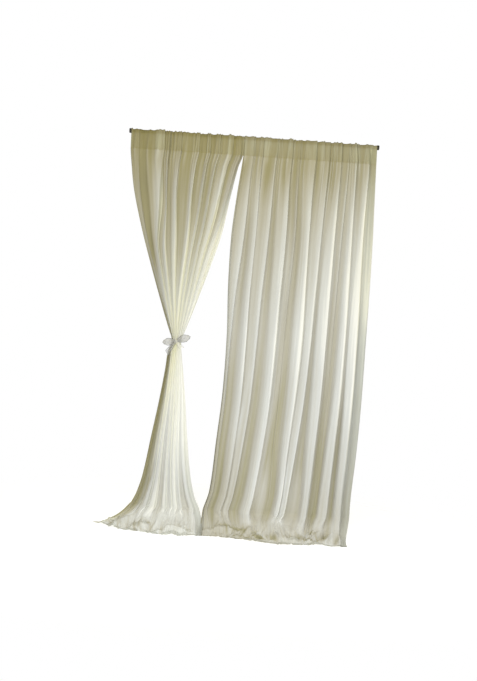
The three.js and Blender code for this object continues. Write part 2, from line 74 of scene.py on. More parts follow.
# %% Outlines: drop, and the columns that are named here
# flank is the share of the width that is turned away from the light, where shade is painted; the next
# column lifts or lowers the tone at each drop as painted light and shade, and near the bow crowded cloth
# pales too
OUTLINE_COLUMNS = ("left", "right", "depth", "plane", "round", "bulge", "flank", "painted_light")
LEFT_OUTLINE = np.array([
    (0, -627, -50, 12, -14, 0.0, 0, 0.0, -0.1),
    (POCKET_DROP, -625, -50.6, 15, -14, 0.0, 0, 0.0, -0.1),
    (150, -618, -71, 18, -13, 0.0, 0, 0.0, -0.05),
    (300, -594, -100, 27, -11, 0.0, 4, 0.0, 0.03),
    (500, -540, -134, 36, -10, 0.0, 14, 0.0, 0.16),
    (700, -475, -190, 42, -10, 0.1, 28, 0.04, 0.3),
    (850, -422, -236, 44, -10, 0.4, 30, 0.08, 0.47),
    (950, -385, -267, 44, -10, 0.8, 16, 0.12, 0.54),
    (1010, -362, -286, 44, -10, 1.0, 4, 0.15, 0.58),
    (1044, -350, -298, 44, -10, 1.0, 0, 0.15, 0.64),
    (1064, -350, -298, 44, -10, 1.0, 0, 0.2, 0.68),
    (1110, -364, -294, 42, -10, 1.0, 6, 0.3, 0.8),
    (1200, -373, -282, 40, -10, 0.9, 22, 0.3, 0.85),
    (1350, -394, -261, 40, -10, 0.6, 44, 0.28, 0.62),
    (1550, -424, -238, 44, -10, 0.35, 60, 0.24, 0.48),
    (1750, -454, -207, 50, -12, 0.2, 66, 0.2, 0.36),
    (1850, -481, -179, 55, -16, 0.1, 64, 0.18, 0.36),
    (FALL_DROP, -504, -154, 58, -20, 0.0, 60, 0.16, 0.34),
], float)
RIGHT_OUTLINE = np.array([
    (0, -49.4, 627, 12, -14, 0.0, 0, 0.0, 0.14),
    (POCKET_DROP, -49.8, 628, 15, -14, 0.0, 0, 0.0, -0.02),
    (300, -69, 634, 24, -11, 0.0, 0, 0.0, 0.03),
    (500, -82, 639, 32, -10, 0.0, 0, 0.0, 0.08),
    (750, -80, 641, 40, -10, 0.0, 0, 0.0, 0.17),
    (1000, -69, 640, 46, -10, 0.0, 0, 0.0, 0.23),
    (1300, -72, 639, 50, -10, 0.0, 0, 0.0, 0.08),
    (1550, -88, 632, 54, -10, 0.0, 0, 0.0, 0.0),
    (1800, -105, 618, 58, -14, 0.0, 0, 0.0, -0.05),
    (FALL_DROP, -132, 617, 60, -20, 0.0, 0, 0.0, -0.05),
], float)

# %% Folds: where forward faces start and end along X at each level, and their depths there
LEFT_LEVELS = (350.0, 600.0, TIE_DROP, 1600.0, 1850.0)
LEFT_FOLDS = [
    ((-574, -548), (-500, -490), None, (-426, -418), (-474, -462), (0.35, 0.3, 0.9, 0.5, 0.4)),
    ((-495, -442), (-464, -442), None, (-412, -400), (-448, -436), (0.95, 0.8, 1, 0.7, 0.6)),
    ((-432, -420), (-426, -406), None, (-388, -374), (-424, -400), (0.8, 1.15, 1, 0.9, 0.75)),
    ((-397, -370), (-380, -353), None, (-368, -354), (-394, -362), (1, 1.15, 1, 0.9, 0.9)),
    ((-317, -295), (-324, -298), None, (-340, -326), (-342, -315), (1, 1.2, 1, 0.95, 0.8)),
    ((-264, -248), (-290, -274), None, (-321, -310), (-306, -290), (1, 1.1, 1, 0.8, 0.9)),
    ((-224, -208), (-258, -242), None, (-306, -290), (-286, -266), (0.85, 1.05, 1, 1, 0.9)),
    ((-196, -156), (-231, -209), None, (-287, -271), (-260, -244), (1.05, 1.2, 1, 0.9, 0.85)),
    ((-143, -119), (-198, -172), None, (-262, -244), (-222, -196), (0.7, 1.1, 0.9, 0.8, 0.7)),
]
RIGHT_LEVELS = (FIRST_DROP, 500.0, 1000.0, 1500.0, 1800.0)
RIGHT_FOLDS = [
    ((-47, -4), (-76, -18), (-66, -48), (-80, -66), (-99, -84), (0.9, 0.9, 0.7, 0.35, 0.3)),
    ((10, 46), (8, 41), (-8, 30), (-28, 12), (-49, -16), (1, 1, 1, 0.68, 0.52)),
    ((70, 116), (52, 107), (40, 88), (20, 60), (-8, 23), (0.7, 0.8, 0.6, 0.68, 0.55)),
    ((140, 195), (136, 196), (132, 184), (108, 160), (76, 125), (0.9, 1, 1, 0.88, 0.9)),
    ((222, 238), (228, 242), (210, 224), (188, 206), (152, 200), (0.75, 0.5, 0.15, 0.05, 0.05)),
    ((258, 316), (272, 313), (262, 314), (244, 284), (236, 264), (1, 1.1, 1.15, 1, 1)),
    ((340, 386), (324, 375), (322, 360), (290, 330), (270, 297), (0.7, 0.8, 0.9, 1, 1)),
    ((418, 450), (393, 443), (382, 436), (372, 420), (369, 404), (0.9, 0.95, 1.05, 1, 0.95)),
    ((472, 488), (464, 480), (456, 470), (440, 455), (425, 438), (0.6, 0.4, 0.1, 0.05, 0.05)),
    ((502, 528), (505, 531), (498, 533), (476, 518), (457, 504), (1, 1.1, 1.1, 1, 0.85)),
    ((556, 592), (561, 589), (549, 595), (545, 586), (535, 573), (1, 1.2, 1.2, 1, 0.85)),
]

# %% Hems on the floor: x, y and arch height, from edge over each fold's crown to edge
LEFT_HEM = np.array([
    (-682, -30, 0), (-644, -96, 16), (-588, -146, 30), (-498, -186, 34), (-418, -206, 38), (-348, -234, 34),
    (-302, -230, 20), (-260, -226, 34), (-214, -248, 38), (-164, -230, 26), (-126, -206, 0),
], float)
RIGHT_HEM = np.array([
    (-138, -186, 0), (-112, -198, 20), (-52, -198, 40), (20, -206, 34), (98, -232, 36), (164, -244, 20),
    (228, -262, 40), (286, -276, 44), (350, -258, 36), (404, -246, 18), (462, -230, 40), (540, -242, 36),
    (590, -206, 0),
], float)
HEM_OVERHANG = 0.7
HEM_WAVE = 16.0
print("folds on the left and right panel:", len(LEFT_FOLDS), len(RIGHT_FOLDS))

# %% [markdown]
# ## Reading the tables smoothly
# Between the rows of a table the cloth runs in a smooth curve. A spline through the rows does this, and one
# helper serves every table: it takes the places of the rows, their values, and the places asked for.

# %% Smooth reading of a table
def along(places, values, at):
    places = np.asarray(places, float)
    values = np.asarray(values, float)
    at = np.clip(np.asarray(at, float), places[0], places[-1])
    last = len(places) - 1
    i = np.clip(np.searchsorted(places, at, side="right") - 1, 0, last - 1)
    widen = (slice(None),) + (None,) * (values.ndim - 1)
    span = (places[i + 1] - places[i])[widen]
    t = ((at - places[i])[widen]) / span

    def slope(a, b):
        return (values[b] - values[a]) / (places[b] - places[a])[widen]

    leave = slope(np.maximum(i - 1, 0), i + 1) * span
    arrive = slope(i, np.minimum(i + 2, last)) * span
    ease = t * t * (3 - 2 * t)
    return values[i] + (values[i + 1] - values[i]) * ease + t * (1 - t) * ((1 - t) * leave - t * arrive)


print("left edge at a drop of 600 mm:", along(LEFT_OUTLINE[:, 0], LEFT_OUTLINE[:, 1], [600.0]).round(1))

# %% [markdown]
# ## The lines that run down a panel
# Each fold is a soft box pleat. Six lines run down it: the foot and shoulder where its face starts, the
# crown, the shoulder and foot where it ends, and the valley behind the next fold. The steep side is on the
# right, as on the real cloth. Each line also carries a tone. Chiffon is thin: where it stands folded its
# layers add up and look pale, and the tones add painted highlights on the folds and painted shade in the
# recesses between them.

# %% Fold lines
LINE_HEMS = np.array([-0.36, -0.22, 0.0, 0.22, 0.36, 0.5])
TOP_RELIEFS = np.array([0.2, 0.4, 0.7, 1.0, 0.02, 0.08])
FOOT_RELIEFS = np.array([0.1, 0.75, 0.9, 1.0, 0.08, 0.05])
# How pale the six lines are lower down: painted highlights on the faces and painted shade in the recesses
FOOT_PALES = np.array([0.15, 0.8, 0.82, 1.08, 0.35, 0.15])
START_STEP = 0.25
END_STEP_IN = 0.06
END_STEP_OUT = 0.04
EVEN_FACE = np.array([0.1, 0.9])
WIDE_GAP = 26.0
NARROW_LIFT = 0.8
TIED_LIFT = 0.3


def line_shares(faces, tuck):
    """Places of the lines. The steep side of a fold is tucked under its face by a share of the face."""
    start, end = faces.T
    after = np.append(start[1:], 1.0)
    room_start = np.minimum(end - start, start - np.append(0.0, end[:-1]))
    room_end = np.minimum(end - start, after - end)
    lines = [
        start - START_STEP * room_start,
        start + START_STEP * room_start,
        (start + end) / 2,
        end - END_STEP_IN * room_end,
        end + END_STEP_OUT * room_end - tuck * (end - start),
        (end + after) / 2,
    ]
    inner = np.stack(lines, axis=1).ravel()[:-1]
    return np.concatenate([[0.0], inner, [1.0]])


def lifted(values, gaps, depths, amount):
    """Raises the lines in the gap between two folds, the more the narrower the gap."""
    shallow = amount * (1 - gaps) * np.minimum(depths[:-1], depths[1:])
    values[:-1, 4:] = np.maximum(values[:-1, 4:], shallow[:, None])
    values[1:, 0] = np.maximum(values[1:, 0], shallow)
    return values


def panel_of(outline, levels, folds, edge_reliefs, edge_tones, top_pales, tone_lifts, tuck, seed, **kept):
    """The lines of a panel. The stitches get a level of their own, where no fold is tucked."""
    count = len(folds)
    shares, reliefs, tones = [], [], []
    for k, level in enumerate(levels):
        tied = folds[0][k] is None
        left, right = along(outline[:, 0], outline[:, 1:3], [level])[0]
        if tied:
            faces = (np.arange(count)[:, None] + EVEN_FACE) / count
        else:
            faces = (np.array([fold[k] for fold in folds]) - left) / (right - left)
        depths = np.array([fold[-1][k] for fold in folds], float)
        gaps = np.clip((faces[1:, 0] - faces[:-1, 1]) * (right - left) / WIDE_GAP, 0, 1)
        down = k / (len(levels) - 1)
        relief = np.minimum(depths, 1)[:, None] * (TOP_RELIEFS * (1 - down) + FOOT_RELIEFS * down)
        pale = depths[:, None] * (top_pales * (1 - down) + FOOT_PALES * down)
        relief = lifted(relief, gaps, depths, TIED_LIFT if tied else NARROW_LIFT)
        tone = 1 - lifted(pale, gaps, depths, tone_lifts[k])
        start_tone, end_tone = edge_tones[0][k], edge_tones[1][k]
        tone[0, 0] = (tone[0, 0] + 2 * start_tone) / 3
        tone[-1, 4] = end_tone
        if k == 0:
            shares.append(line_shares(faces, 0.0))
        shares.append(line_shares(faces, tuck))
        reliefs.append(np.concatenate([[edge_reliefs[0]], relief.ravel()[:-1], [edge_reliefs[1]]]))
        tones.append(np.concatenate([[start_tone], tone.ravel()[:-1], [end_tone]]))
    places = (np.arange(count)[:, None] + LINE_HEMS).ravel()[:-1]
    ends = (-HEM_OVERHANG, count - 1 + HEM_OVERHANG)
    return {
        **kept,
        "outline": outline,
        "levels": np.array([POCKET_DROP, *levels]),
        "share": np.array(shares),
        "relief": np.array(reliefs[:1] + reliefs),
        "tone": np.array(tones[:1] + tones),
        "line_hem": np.concatenate([[ends[0]], places, [ends[1]]]),
        "hem_place": np.concatenate([[ends[0]], np.arange(count), [ends[1]]]),
        "random": np.random.default_rng(seed),
    }


# %% The left panel
left_panel = panel_of(
    name="curtain_panel_left",
    outline=LEFT_OUTLINE,
    levels=LEFT_LEVELS,
    folds=LEFT_FOLDS,
    hem=LEFT_HEM,
    # Values for the left and right edge, the tones at each level, and the tones on the floor: these tones
    # are painted light and shade
    edge_reliefs=(0.1, 0.3),
    edge_tones=((0.5, 0.6, 0.7, 0.75, 0.75), (-0.1, -0.1, 0.3, 0.2, 0.3)),
    floor_tones=(0.12, 0.2),
    # How pale the six lines are at the top, as painted light and shade, how much gaps are lifted at each
    # level, how far folds are tucked
    top_pales=np.array([0.1, 0.5, 0.8, 1.25, 0.1, 0.05]),
    tone_lifts=(0.3, 0.3, 0.7, 0.8, 0.8),
    tuck=0.36,
    # Painted light, paler towards the right edge: drop and tone
    lean=np.array([(0, 0), (300, 0), (600, 0.2), (900, 0.1), (1100, 0), (FALL_DROP, 0)]),
    # Painted shade and painted light: x, drop, sideways run for each unit of drop, half width, half height,
    # tone; a positive tone paints shade, a negative one paints light
    shades=(
        (-535, 300, 0.15, 18, 180, 0.35),
        (-481, 600, 0.2, 13, 150, 0.35),
        (-415, 1780, -0.25, 9, 110, 0.4),
    ),
    # Which edge is at the parting, and how far it lies over the other panel
    parting=1.0,
    over=12.0,
    seed=11,
)
print("lines down the left panel:", left_panel["share"].shape[1])

# %% The right panel, with the same kinds of values
right_panel = panel_of(
    name="curtain_panel_right",
    outline=RIGHT_OUTLINE,
    levels=RIGHT_LEVELS,
    folds=RIGHT_FOLDS,
    hem=RIGHT_HEM,
    edge_reliefs=(0.3, 0.2),
    edge_tones=((0.45, -0.15, -0.35, -0.3, 0.0), (0.25, 0.45, 0.4, 0.25, 0.32)),
    floor_tones=(0.66, 0.2),
    top_pales=np.array([0.1, 0.25, 0.45, 0.9, 0.25, 0.15]),
    tone_lifts=(0.8, 0.8, 0.65, 0.8, 0.8),
    tuck=0.0,
    lean=np.array([
        (0, 0.12), (300, 0.3), (500, 0.55), (750, 0.55), (1000, 0.18), (1300, 0.1), (1550, 0), (FALL_DROP, 0),
    ]),
    shades=(
        (70, 190, 0.0, 20, 120, 0.25),
        (172, 180, 0.0, 10, 110, 0.25),
        (412, 190, 0.0, 14, 110, 0.2),
        (600, 160, 0.0, 14, 160, -0.35),
        (222, 620, 0.0, 18, 220, -0.2),
        (193, 1050, -0.05, 12, 260, -0.25),
        (24, 1450, -0.14, 8, 300, -0.2),
        (176, 1480, -0.12, 15, 330, -0.3),
        (160, 1800, -0.1, 32, 130, -0.45),
        (268, 1760, -0.15, 8, 150, -0.25),
        (340, 1810, -0.1, 35, 130, -0.3),
        (587, 1780, 0.0, 12, 200, -0.25),
    ),
    parting=0.0,
    over=0.0,
    seed=7,
)
print("lines down the right panel:", right_panel["share"].shape[1])

# %% [markdown]
# ## Hanging, pocket and floor
# One length of cloth goes up behind the rod, over it, down the front to the stitches, down to the floor and
# forward over it. Each stretch has its own rule for where a line lies, and the rows of the three together
# make the whole sheet. A row holds x, y, z and the tone. On the floor the left panel's corner laps over the
# right one's, so no gap shows where they meet.

# %% Rows where the cloth hangs
BUNDLE_ROUND = 0.96
MEAN_RELIEF = 0.5
FLANK_PAINTED_SHADE = 0.88
# The painted light and shade of the folds shows less towards the rod: drop and share
SHOW_DROPS = (POCKET_DROP, 150.0, 250.0, 350.0)
SHOW_SHARES = (0.3, 0.4, 0.75, 1.0)


def hanging_rows(panel, drops):
    drops = np.asarray(drops, float)
    table = along(panel["outline"][:, 0], panel["outline"][:, 1:], drops)
    at = {name: table[:, [i]] for i, name in enumerate(OUTLINE_COLUMNS)}
    share = along(panel["levels"], panel["share"], drops)
    relief = along(panel["levels"], panel["relief"], drops)
    show = np.interp(drops, SHOW_DROPS, SHOW_SHARES)[:, None]
    tone = 1 - show * (1 - along(panel["levels"], panel["tone"], drops))
    rounded = np.sqrt(1 - BUNDLE_ROUND * (2 * share - 1) ** 2)
    depth = at["depth"] * (1 + at["round"] * (rounded - 1))
    x = at["left"] + (at["right"] - at["left"]) * share
    y = at["plane"] + at["bulge"] * (1 - rounded) - depth * (relief - MEAN_RELIEF)
    z = np.broadcast_to(-drops[:, None], x.shape)
    turned = np.clip(2 * (1 - share / np.maximum(at["flank"], 1e-3)), 0, 1)
    lean = along(panel["lean"][:, 0], panel["lean"][:, 1:], drops)
    # Painted light and shade: the tone is lifted or lowered at each drop, and painted paler towards the right
    # edge
    tone = tone - at["painted_light"] - lean * np.clip(2 * share - 1, 0, 1)
    # Patches of painted shade and painted light
    for place, drop, run, half_width, half_height, change in panel["shades"]:
        below = drops[:, None] - drop
        aside = (x - place - run * below) / half_width
        tone = tone + change * np.exp(-(aside**2) - (below / half_height) ** 2)
    # Painted shade on the flank that is turned away from the light
    tone = tone + (FLANK_PAINTED_SHADE - tone) * turned
    return np.stack([x, y, z, tone], axis=2)


# %% Rows round the rod
ROD_RADIUS = 7.0
SEAT_GAP = 1.0
POCKET_GATHER = 6.0
POCKET_BACK_GATHER = 0.3
POCKET_SPREAD = 1.8
POCKET_PAINTED_LIGHT = 0.2
ROD_PAINTED_SHADE = 0.3
ROD_EDGE = 8.0
ARC_ROWS = 13
SIDE_ROWS = 13


def pocket_rows(panel):
    top = hanging_rows(panel, [0.0])[0]
    stitch = hanging_rows(panel, [POCKET_DROP])[0]
    turn = np.linspace(0, 1, ARC_ROWS)[:, None]
    gather = POCKET_GATHER * panel["relief"][0] * (POCKET_BACK_GATHER + (1 - POCKET_BACK_GATHER) * turn)
    radius = ROD_RADIUS + SEAT_GAP + gather
    x = np.broadcast_to(top[:, 0], radius.shape)
    tone = np.broadcast_to(top[:, 3], radius.shape)
    arc = np.stack([x, radius * np.cos(math.pi * turn), radius * np.sin(math.pi * turn), tone], axis=2)
    behind = stitch + np.array([0.0, POCKET_SPREAD, 0.0, 0.0])
    way = np.linspace(0, 1, SIDE_ROWS, endpoint=False)[:, None, None]
    back = behind + (arc[0] - behind) * way
    front = stitch + (arc[-1] - stitch) * way[:0:-1]
    rows = np.concatenate([back, arc, front])
    # Painted shade where the dark rod lies behind the sheer pocket, and painted light over the whole pocket
    over_rod = np.clip(1 + (rows[:, :, 2] + ROD_RADIUS) / ROD_EDGE, 0, 1)
    rows[:, :, 3] += ROD_PAINTED_SHADE * over_rod - POCKET_PAINTED_LIGHT
    return rows


# %% Rows on the floor
FLOOR_COLUMNS = ("run", "spread", "rise", "turn", "swell")
FLOOR_STATIONS = np.array([
    (0.0, 0.0, 100.0, 0.0, 0.0),
    (0.05, 0.24, 54, 0.3, 0.5),
    (0.16, 0.52, 20, 0.7, 0.85),
    (0.36, 0.74, 4, 1.0, 0.8),
    (0.6, 0.88, 0, 1.0, 0.6),
    (0.82, 0.96, 0, 1.0, 0.4),
    (1.0, 1.0, 0, 1.0, 0.28),
])
FLOOR_LIFT = 2.2
FLOOR_ROWS = 54
PARTING_WIDTH = 0.25


def floor_rows(panel):
    stations = np.linspace(0, len(FLOOR_STATIONS) - 1, FLOOR_ROWS + 1)[1:]
    table = along(np.arange(len(FLOOR_STATIONS)), FLOOR_STATIONS, stations)
    at = {name: table[:, [i]] for i, name in enumerate(FLOOR_COLUMNS)}
    low = hanging_rows(panel, [FALL_DROP])[0]
    plane = along(panel["outline"][:, 0], panel["outline"][:, 4], [FALL_DROP])
    hem = along(panel["hem_place"], panel["hem"], panel["line_hem"])
    shape = np.minimum(panel["relief"][-1], 1)
    hem_y = hem[:, 1] + HEM_WAVE * (1 - shape)
    near = np.clip(1 - np.abs(panel["share"][-1] - panel["parting"]) / PARTING_WIDTH, 0, 1)
    to_come = 1 - at["spread"]
    spread = at["spread"] + near * (to_come - to_come**3)
    x = low[:, 0] + (hem[:, 0] - low[:, 0]) * spread
    over = panel["over"] * near
    y = low[:, 1] + (plane - low[:, 1]) * at["turn"] + (hem_y - plane) * at["run"] - over / 2 * spread
    z = -FLOOR_DROP + FLOOR_LIFT + at["rise"] + (hem[:, 2] * shape * at["swell"] + over) * at["turn"]
    # The tone on the floor is painted light and shade
    floor_tone = np.interp(panel["share"][-1], (0, 1), panel["floor_tones"])
    tone = low[:, 3] + (floor_tone - low[:, 3]) * at["turn"]
    return np.stack([x, y, np.maximum(z, -FLOOR_DROP + FLOOR_LIFT), tone], axis=2)


# %% A smooth row of columns through the lines of each row
LINE_STEPS = 6
HANG_ROWS = 150


def across(rows):
    lines = rows.shape[1]
    fraction = np.linspace(0, lines - 1, (lines - 1) * LINE_STEPS + 1)
    smooth = []
    for row in rows:
        step = np.linalg.norm(np.diff(row[:, :3], axis=0), axis=1) + 1e-6
        length = np.append(0.0, np.cumsum(step))
        smooth.append(along(length, row, np.interp(fraction, np.arange(lines), length)))
    return np.array(smooth)


def drape(panel):
    panel["drops"] = np.linspace(POCKET_DROP, FALL_DROP, HANG_ROWS)
    pocket = pocket_rows(panel)
    panel["stitch_row"] = len(pocket)
    rows = np.concatenate([pocket, hanging_rows(panel, panel["drops"]), floor_rows(panel)])
    return across(rows)


left_cloth = drape(left_panel)
right_cloth = drape(right_panel)
print("rows and columns:", left_cloth.shape[:2], right_cloth.shape[:2])

# %% [markdown]
# ## Gathers, ripples and pleats
# Pushing a pocket along a rod makes small sharp gathers that die away below the stitches. Lower down, thin
# cloth is never quite flat, so long soft ripples wander down it, and the tie crowds the cloth into many fine
# pleats. All are raised along the cloth's own normal, in the flat cloth's coordinates.

# %% Flat coordinates and normals of a draped sheet
def flat_places(cloth):
    sideways = np.linalg.norm(np.diff(cloth[:, :, :3], axis=1), axis=2)
    u = np.append(0.0, np.cumsum(sideways.mean(axis=0)))
    down = np.linalg.norm(np.diff(cloth[:, :, :3], axis=0), axis=2)
    v = np.append(0.0, np.cumsum(down.mean(axis=1)))
    return u * (FLAT_WIDTH - 2 * SIDE_HEM) / u[-1], v * (FLAT_LENGTH - FLOOR_HEM) / v[-1]


def front_normals(cloth):
    below = np.gradient(cloth[:, :, :3], axis=0)
    beside = np.gradient(cloth[:, :, :3], axis=1)
    normal = np.cross(below, beside)
    return normal / np.linalg.norm(normal, axis=2, keepdims=True)


# %% Gathers at the heading
GATHER_PITCH = 24.0
GATHER_HEIGHT = (2.0, 7.0)
GATHER_WIDTH = (3.0, 9.0)
GATHER_REACH = (40.0, 330.0)
GATHER_SLANT = (-0.12, 0.12)
GATHER_PAINTED_HIGHLIGHT = 0.5


def heading_gathers(panel, u, way):
    random = panel["random"]
    count = int(FLAT_WIDTH / GATHER_PITCH)
    places = (np.arange(count) + random.uniform(0.1, 0.9, count)) * GATHER_PITCH
    heights = random.uniform(*GATHER_HEIGHT, count)
    widths = random.uniform(*GATHER_WIDTH, count)
    reaches = random.uniform(*GATHER_REACH, count)
    slants = random.uniform(*GATHER_SLANT, count)
    relief = np.zeros((len(way), len(u)))
    for place, height, width, reach, slant in zip(places, heights, widths, reaches, slants):
        fade = np.exp(-((np.maximum(way, 0) / reach) ** 2))[:, None]
        aside = u - place - slant * np.minimum(way, 0)[:, None]
        relief = np.maximum(relief, height * fade * np.exp(-((aside / width) ** 2)))
    return relief


# %% Soft ripples down the cloth
RIPPLE_LENGTHS = (38.0, 52.0, 74.0, 110.0)
RIPPLE_HEIGHT = 1.0
RIPPLE_WANDER = 900.0
WANDER_TURNS = 2
WANDER_REACH = 1.5
SWELL_TURNS = 5
SWELL_SHARE = 0.4


def soft_ripples(panel, u, way):
    random = panel["random"]
    relief = np.zeros((len(way), len(u)))
    grow = np.clip(way / RIPPLE_WANDER, 0, 1)[:, None]
    for length in RIPPLE_LENGTHS:
        phase, turn, start = random.uniform(0, 2 * math.pi, 3)
        wander = WANDER_REACH * np.sin(way / RIPPLE_WANDER * WANDER_TURNS + start)[:, None]
        swell = 1 - SWELL_SHARE + SWELL_SHARE * np.sin(way / RIPPLE_WANDER * SWELL_TURNS + turn)[:, None]
        relief += grow * swell * RIPPLE_HEIGHT * np.cos(2 * math.pi * u / length + phase + wander)
    return relief


# %% Fine pleats under the tie
TIE_PLEATS = 27
TIE_PLEAT_HEIGHT = 0.4
TIE_PLEAT_REACH = 260.0
TIE_HOLD = 26.0


def tie_pleats(u, drops):
    near = np.exp(-(((drops - TIE_DROP) / TIE_PLEAT_REACH) ** 2))[:, None]
    return near * TIE_PLEAT_HEIGHT * np.cos(2 * math.pi * TIE_PLEATS * u / FLAT_WIDTH)


def draw_in(cloth):
    """Keeps the cloth inside the ribbon's band, close to the tie."""
    x = (cloth[:, :, 0] - WAIST_X) / WAIST_HALF_WIDTH
    y = (cloth[:, :, 1] - WAIST_Y) / WAIST_HALF_DEPTH
    reach = np.maximum(np.sqrt(x * x + y * y), 1e-6)
    near = np.exp(-(((-cloth[:, :, 2] - TIE_DROP) / TIE_HOLD) ** 4))
    scale = 1 - near * (1 - np.minimum(1.0, 1 / reach))
    cloth[:, :, 0] = WAIST_X + (cloth[:, :, 0] - WAIST_X) * scale
    cloth[:, :, 1] = WAIST_Y + (cloth[:, :, 1] - WAIST_Y) * scale


def dress(panel, cloth, tied):
    u, v = flat_places(cloth)
    way = v - v[panel["stitch_row"]]
    gathers = heading_gathers(panel, u, way)
    relief = gathers + soft_ripples(panel, u, way)
    if tied:
        relief += tie_pleats(u, POCKET_DROP + way)
    cloth[:, :, :3] += relief[:, :, None] * front_normals(cloth)
    # Painted highlight on the crests of the gathers
    cloth[:, :, 3] -= GATHER_PAINTED_HIGHLIGHT * gathers / GATHER_HEIGHT[1]
    if tied:
        draw_in(cloth)
    cloth[:, :, 2] = np.maximum(cloth[:, :, 2], -FLOOR_DROP + FLOOR_LIFT)
    return u, v


left_flat = dress(left_panel, left_cloth, True)
right_flat = dress(right_panel, right_cloth, False)
print("widest relief added, mm:", GATHER_HEIGHT[1], TIE_PLEAT_HEIGHT)

# %% [markdown]
# ## From numbers to sheets
# A sheet starts as Blender's own grid, as cloth on a cutting table, and then every point is moved to its
# place in the drape. The grid's UV map is the flat cloth in metres. Two point attributes go with it: the tone
# from the lines, which holds painted light and shade, and how yellow the cloth looks. The yellow is most
# where the cloth is doubled round the rod, and is partly painted warm light and shade, as on the left
# panel's flank below the bow and on the right panel's right edge.

# %% How yellow the cloth looks, partly as painted warm light and shade
WARM_DROPS = (POCKET_DROP - 3, POCKET_DROP + 3, 250.0, 500.0, 1040.0, 1120.0, 1700.0)
LEFT_WARM = (0.7, 0.55, 0.32, 0.35, 0.42, 0.05, 0.05)
RIGHT_WARM = (0.55, 0.5, 0.25, 0.1, 0.0, 0.0, 0.0)
# Painted warm shade on the left panel's flank below the bow and on the right panel's right edge
FLANK_PAINTED_WARM_SHADE = 0.95
EDGE_PAINTED_WARM_SHADE = 0.1
FLANK_WIDTH = 60.0


def near_edges(x):
    """1 on the left and on the right edge, and 0 a flank's width away from it."""
    left = np.clip(1 - (x - x.min(axis=1, keepdims=True)) / FLANK_WIDTH, 0, 1)
    right = np.clip(1 - (x.max(axis=1, keepdims=True) - x) / FLANK_WIDTH, 0, 1)
    return left, right


def left_warmth(points):
    drop = -points[:, :, 2]
    flank, parting = near_edges(points[:, :, 0])
    drop_warmth = np.interp(drop, WARM_DROPS, LEFT_WARM) * (1 - parting * (drop > POCKET_DROP))
    return drop_warmth + FLANK_PAINTED_WARM_SHADE * flank * (drop > TIE_DROP)


def right_warmth(points):
    return np.interp(-points[:, :, 2], WARM_DROPS, RIGHT_WARM) + EDGE_PAINTED_WARM_SHADE * near_edges(points[:, :, 0])[1]


# %% Make a sheet from a grid of points
def select_only(piece):
    bpy.ops.object.select_all(action="DESELECT")
    piece.select_set(True)
    bpy.context.view_layer.objects.active = piece


def grid_piece(name, points):
    rows, columns = points.shape[:2]
    bpy.ops.object.select_all(action="DESELECT")
    bpy.ops.mesh.primitive_grid_add(x_subdivisions=columns - 1, y_subdivisions=rows - 1, size=1)
    piece = bpy.context.object
    piece.name = name
    piece.data.name = name
    placed = points[::-1, :, :3].reshape(-1, 3) * MM
    piece.data.vertices.foreach_set("co", placed.astype(np.float32).ravel())
    piece.data.update()
    return piece


def sheet_piece(name, points, flat_u, flat_v, warmth=None):
    piece = grid_piece(name, points)
    columns = points.shape[1]
    corner = np.zeros(len(piece.data.loops), int)
    piece.data.loops.foreach_get("vertex_index", corner)
    uv = np.stack([flat_u[corner % columns], flat_v[::-1][corner // columns]], axis=1) * MM
    piece.data.uv_layers[0].data.foreach_set("uv", uv.astype(np.float32).ravel())
    shades = {"tone": points[:, :, 3]}
    if warmth:
        shades["warm"] = warmth(points)
    for shade, values in shades.items():
        attribute = piece.data.attributes.new(shade, "FLOAT", "POINT")
        attribute.data.foreach_set("value", values[::-1].astype(np.float32).ravel())
    select_only(piece)
    bpy.ops.object.shade_smooth()
    print(name, "has", len(piece.data.polygons), "faces")
    return piece


# %% [markdown]
# ## The floor, and cloth that settles on it
# The lowest 150 mm of each panel and the length on the floor go through Blender's cloth simulation, because
# cloth that meets a floor breaks into rolls that are hard to draw by hand. The sheet starts in its drawn
# folds, is held the less the lower it hangs, and is let out by a tenth on the floor, so it has to buckle. A
# coarse copy is simulated, and its moves are limited and spread over the fine sheet.

# %% Floor
FLOOR_SIZE = 9.0
bpy.ops.object.select_all(action="DESELECT")
bpy.ops.mesh.primitive_plane_add(size=FLOOR_SIZE, location=(0, 0, -FLOOR_DROP * MM))
floor = bpy.context.object
floor.name = "floor"
print("the floor is", FLOOR_DROP, "mm below the rod's axis")

# %% Let the lower cloth settle
SETTLE_DROP = 1850.0
FREE_DROP = 2000.0
HEM_HOLD = 0.3
HEM_HOLD_ROWS = 3
TOP_HOLD_ROWS = 2
SIDE_HOLD = 70.0
SETTLE_COLUMNS = 3
SETTLE_ROWS = 2
SETTLE_FRAMES = 30
SETTLE_LET_OUT = 0.1
SETTLE_LIMIT = 32.0
SETTLE_SOFTEN = 1
CHIFFON_SETTINGS = {
    "quality": 8,
    "mass": 0.15,
    "air_damping": 3.0,
    "tension_stiffness": 12.0,
    "compression_stiffness": 8.0,
    "shear_stiffness": 4.0,
    "bending_stiffness": 0.3,
    "vertex_group_mass": "held",
    "vertex_group_shrink": "let_out",
    "shrink_min": 0.0,
    "shrink_max": -SETTLE_LET_OUT,
}
CONTACT_SETTINGS = {
    "distance_min": 0.003,
    "use_self_collision": True,
    "self_distance_min": 0.003,
    "collision_quality": 3,
}
FLOOR_THICKNESS = 0.002
FLOOR_FRICTION = 30.0


def row_group(piece, name, weights, columns):
    """A vertex group with one weight for each row, the first row on top."""
    group = piece.vertex_groups.new(name=name)
    for row, weight in enumerate(weights[::-1]):
        if weight > 0:
            group.add(list(range(row * columns, (row + 1) * columns)), float(weight), "REPLACE")


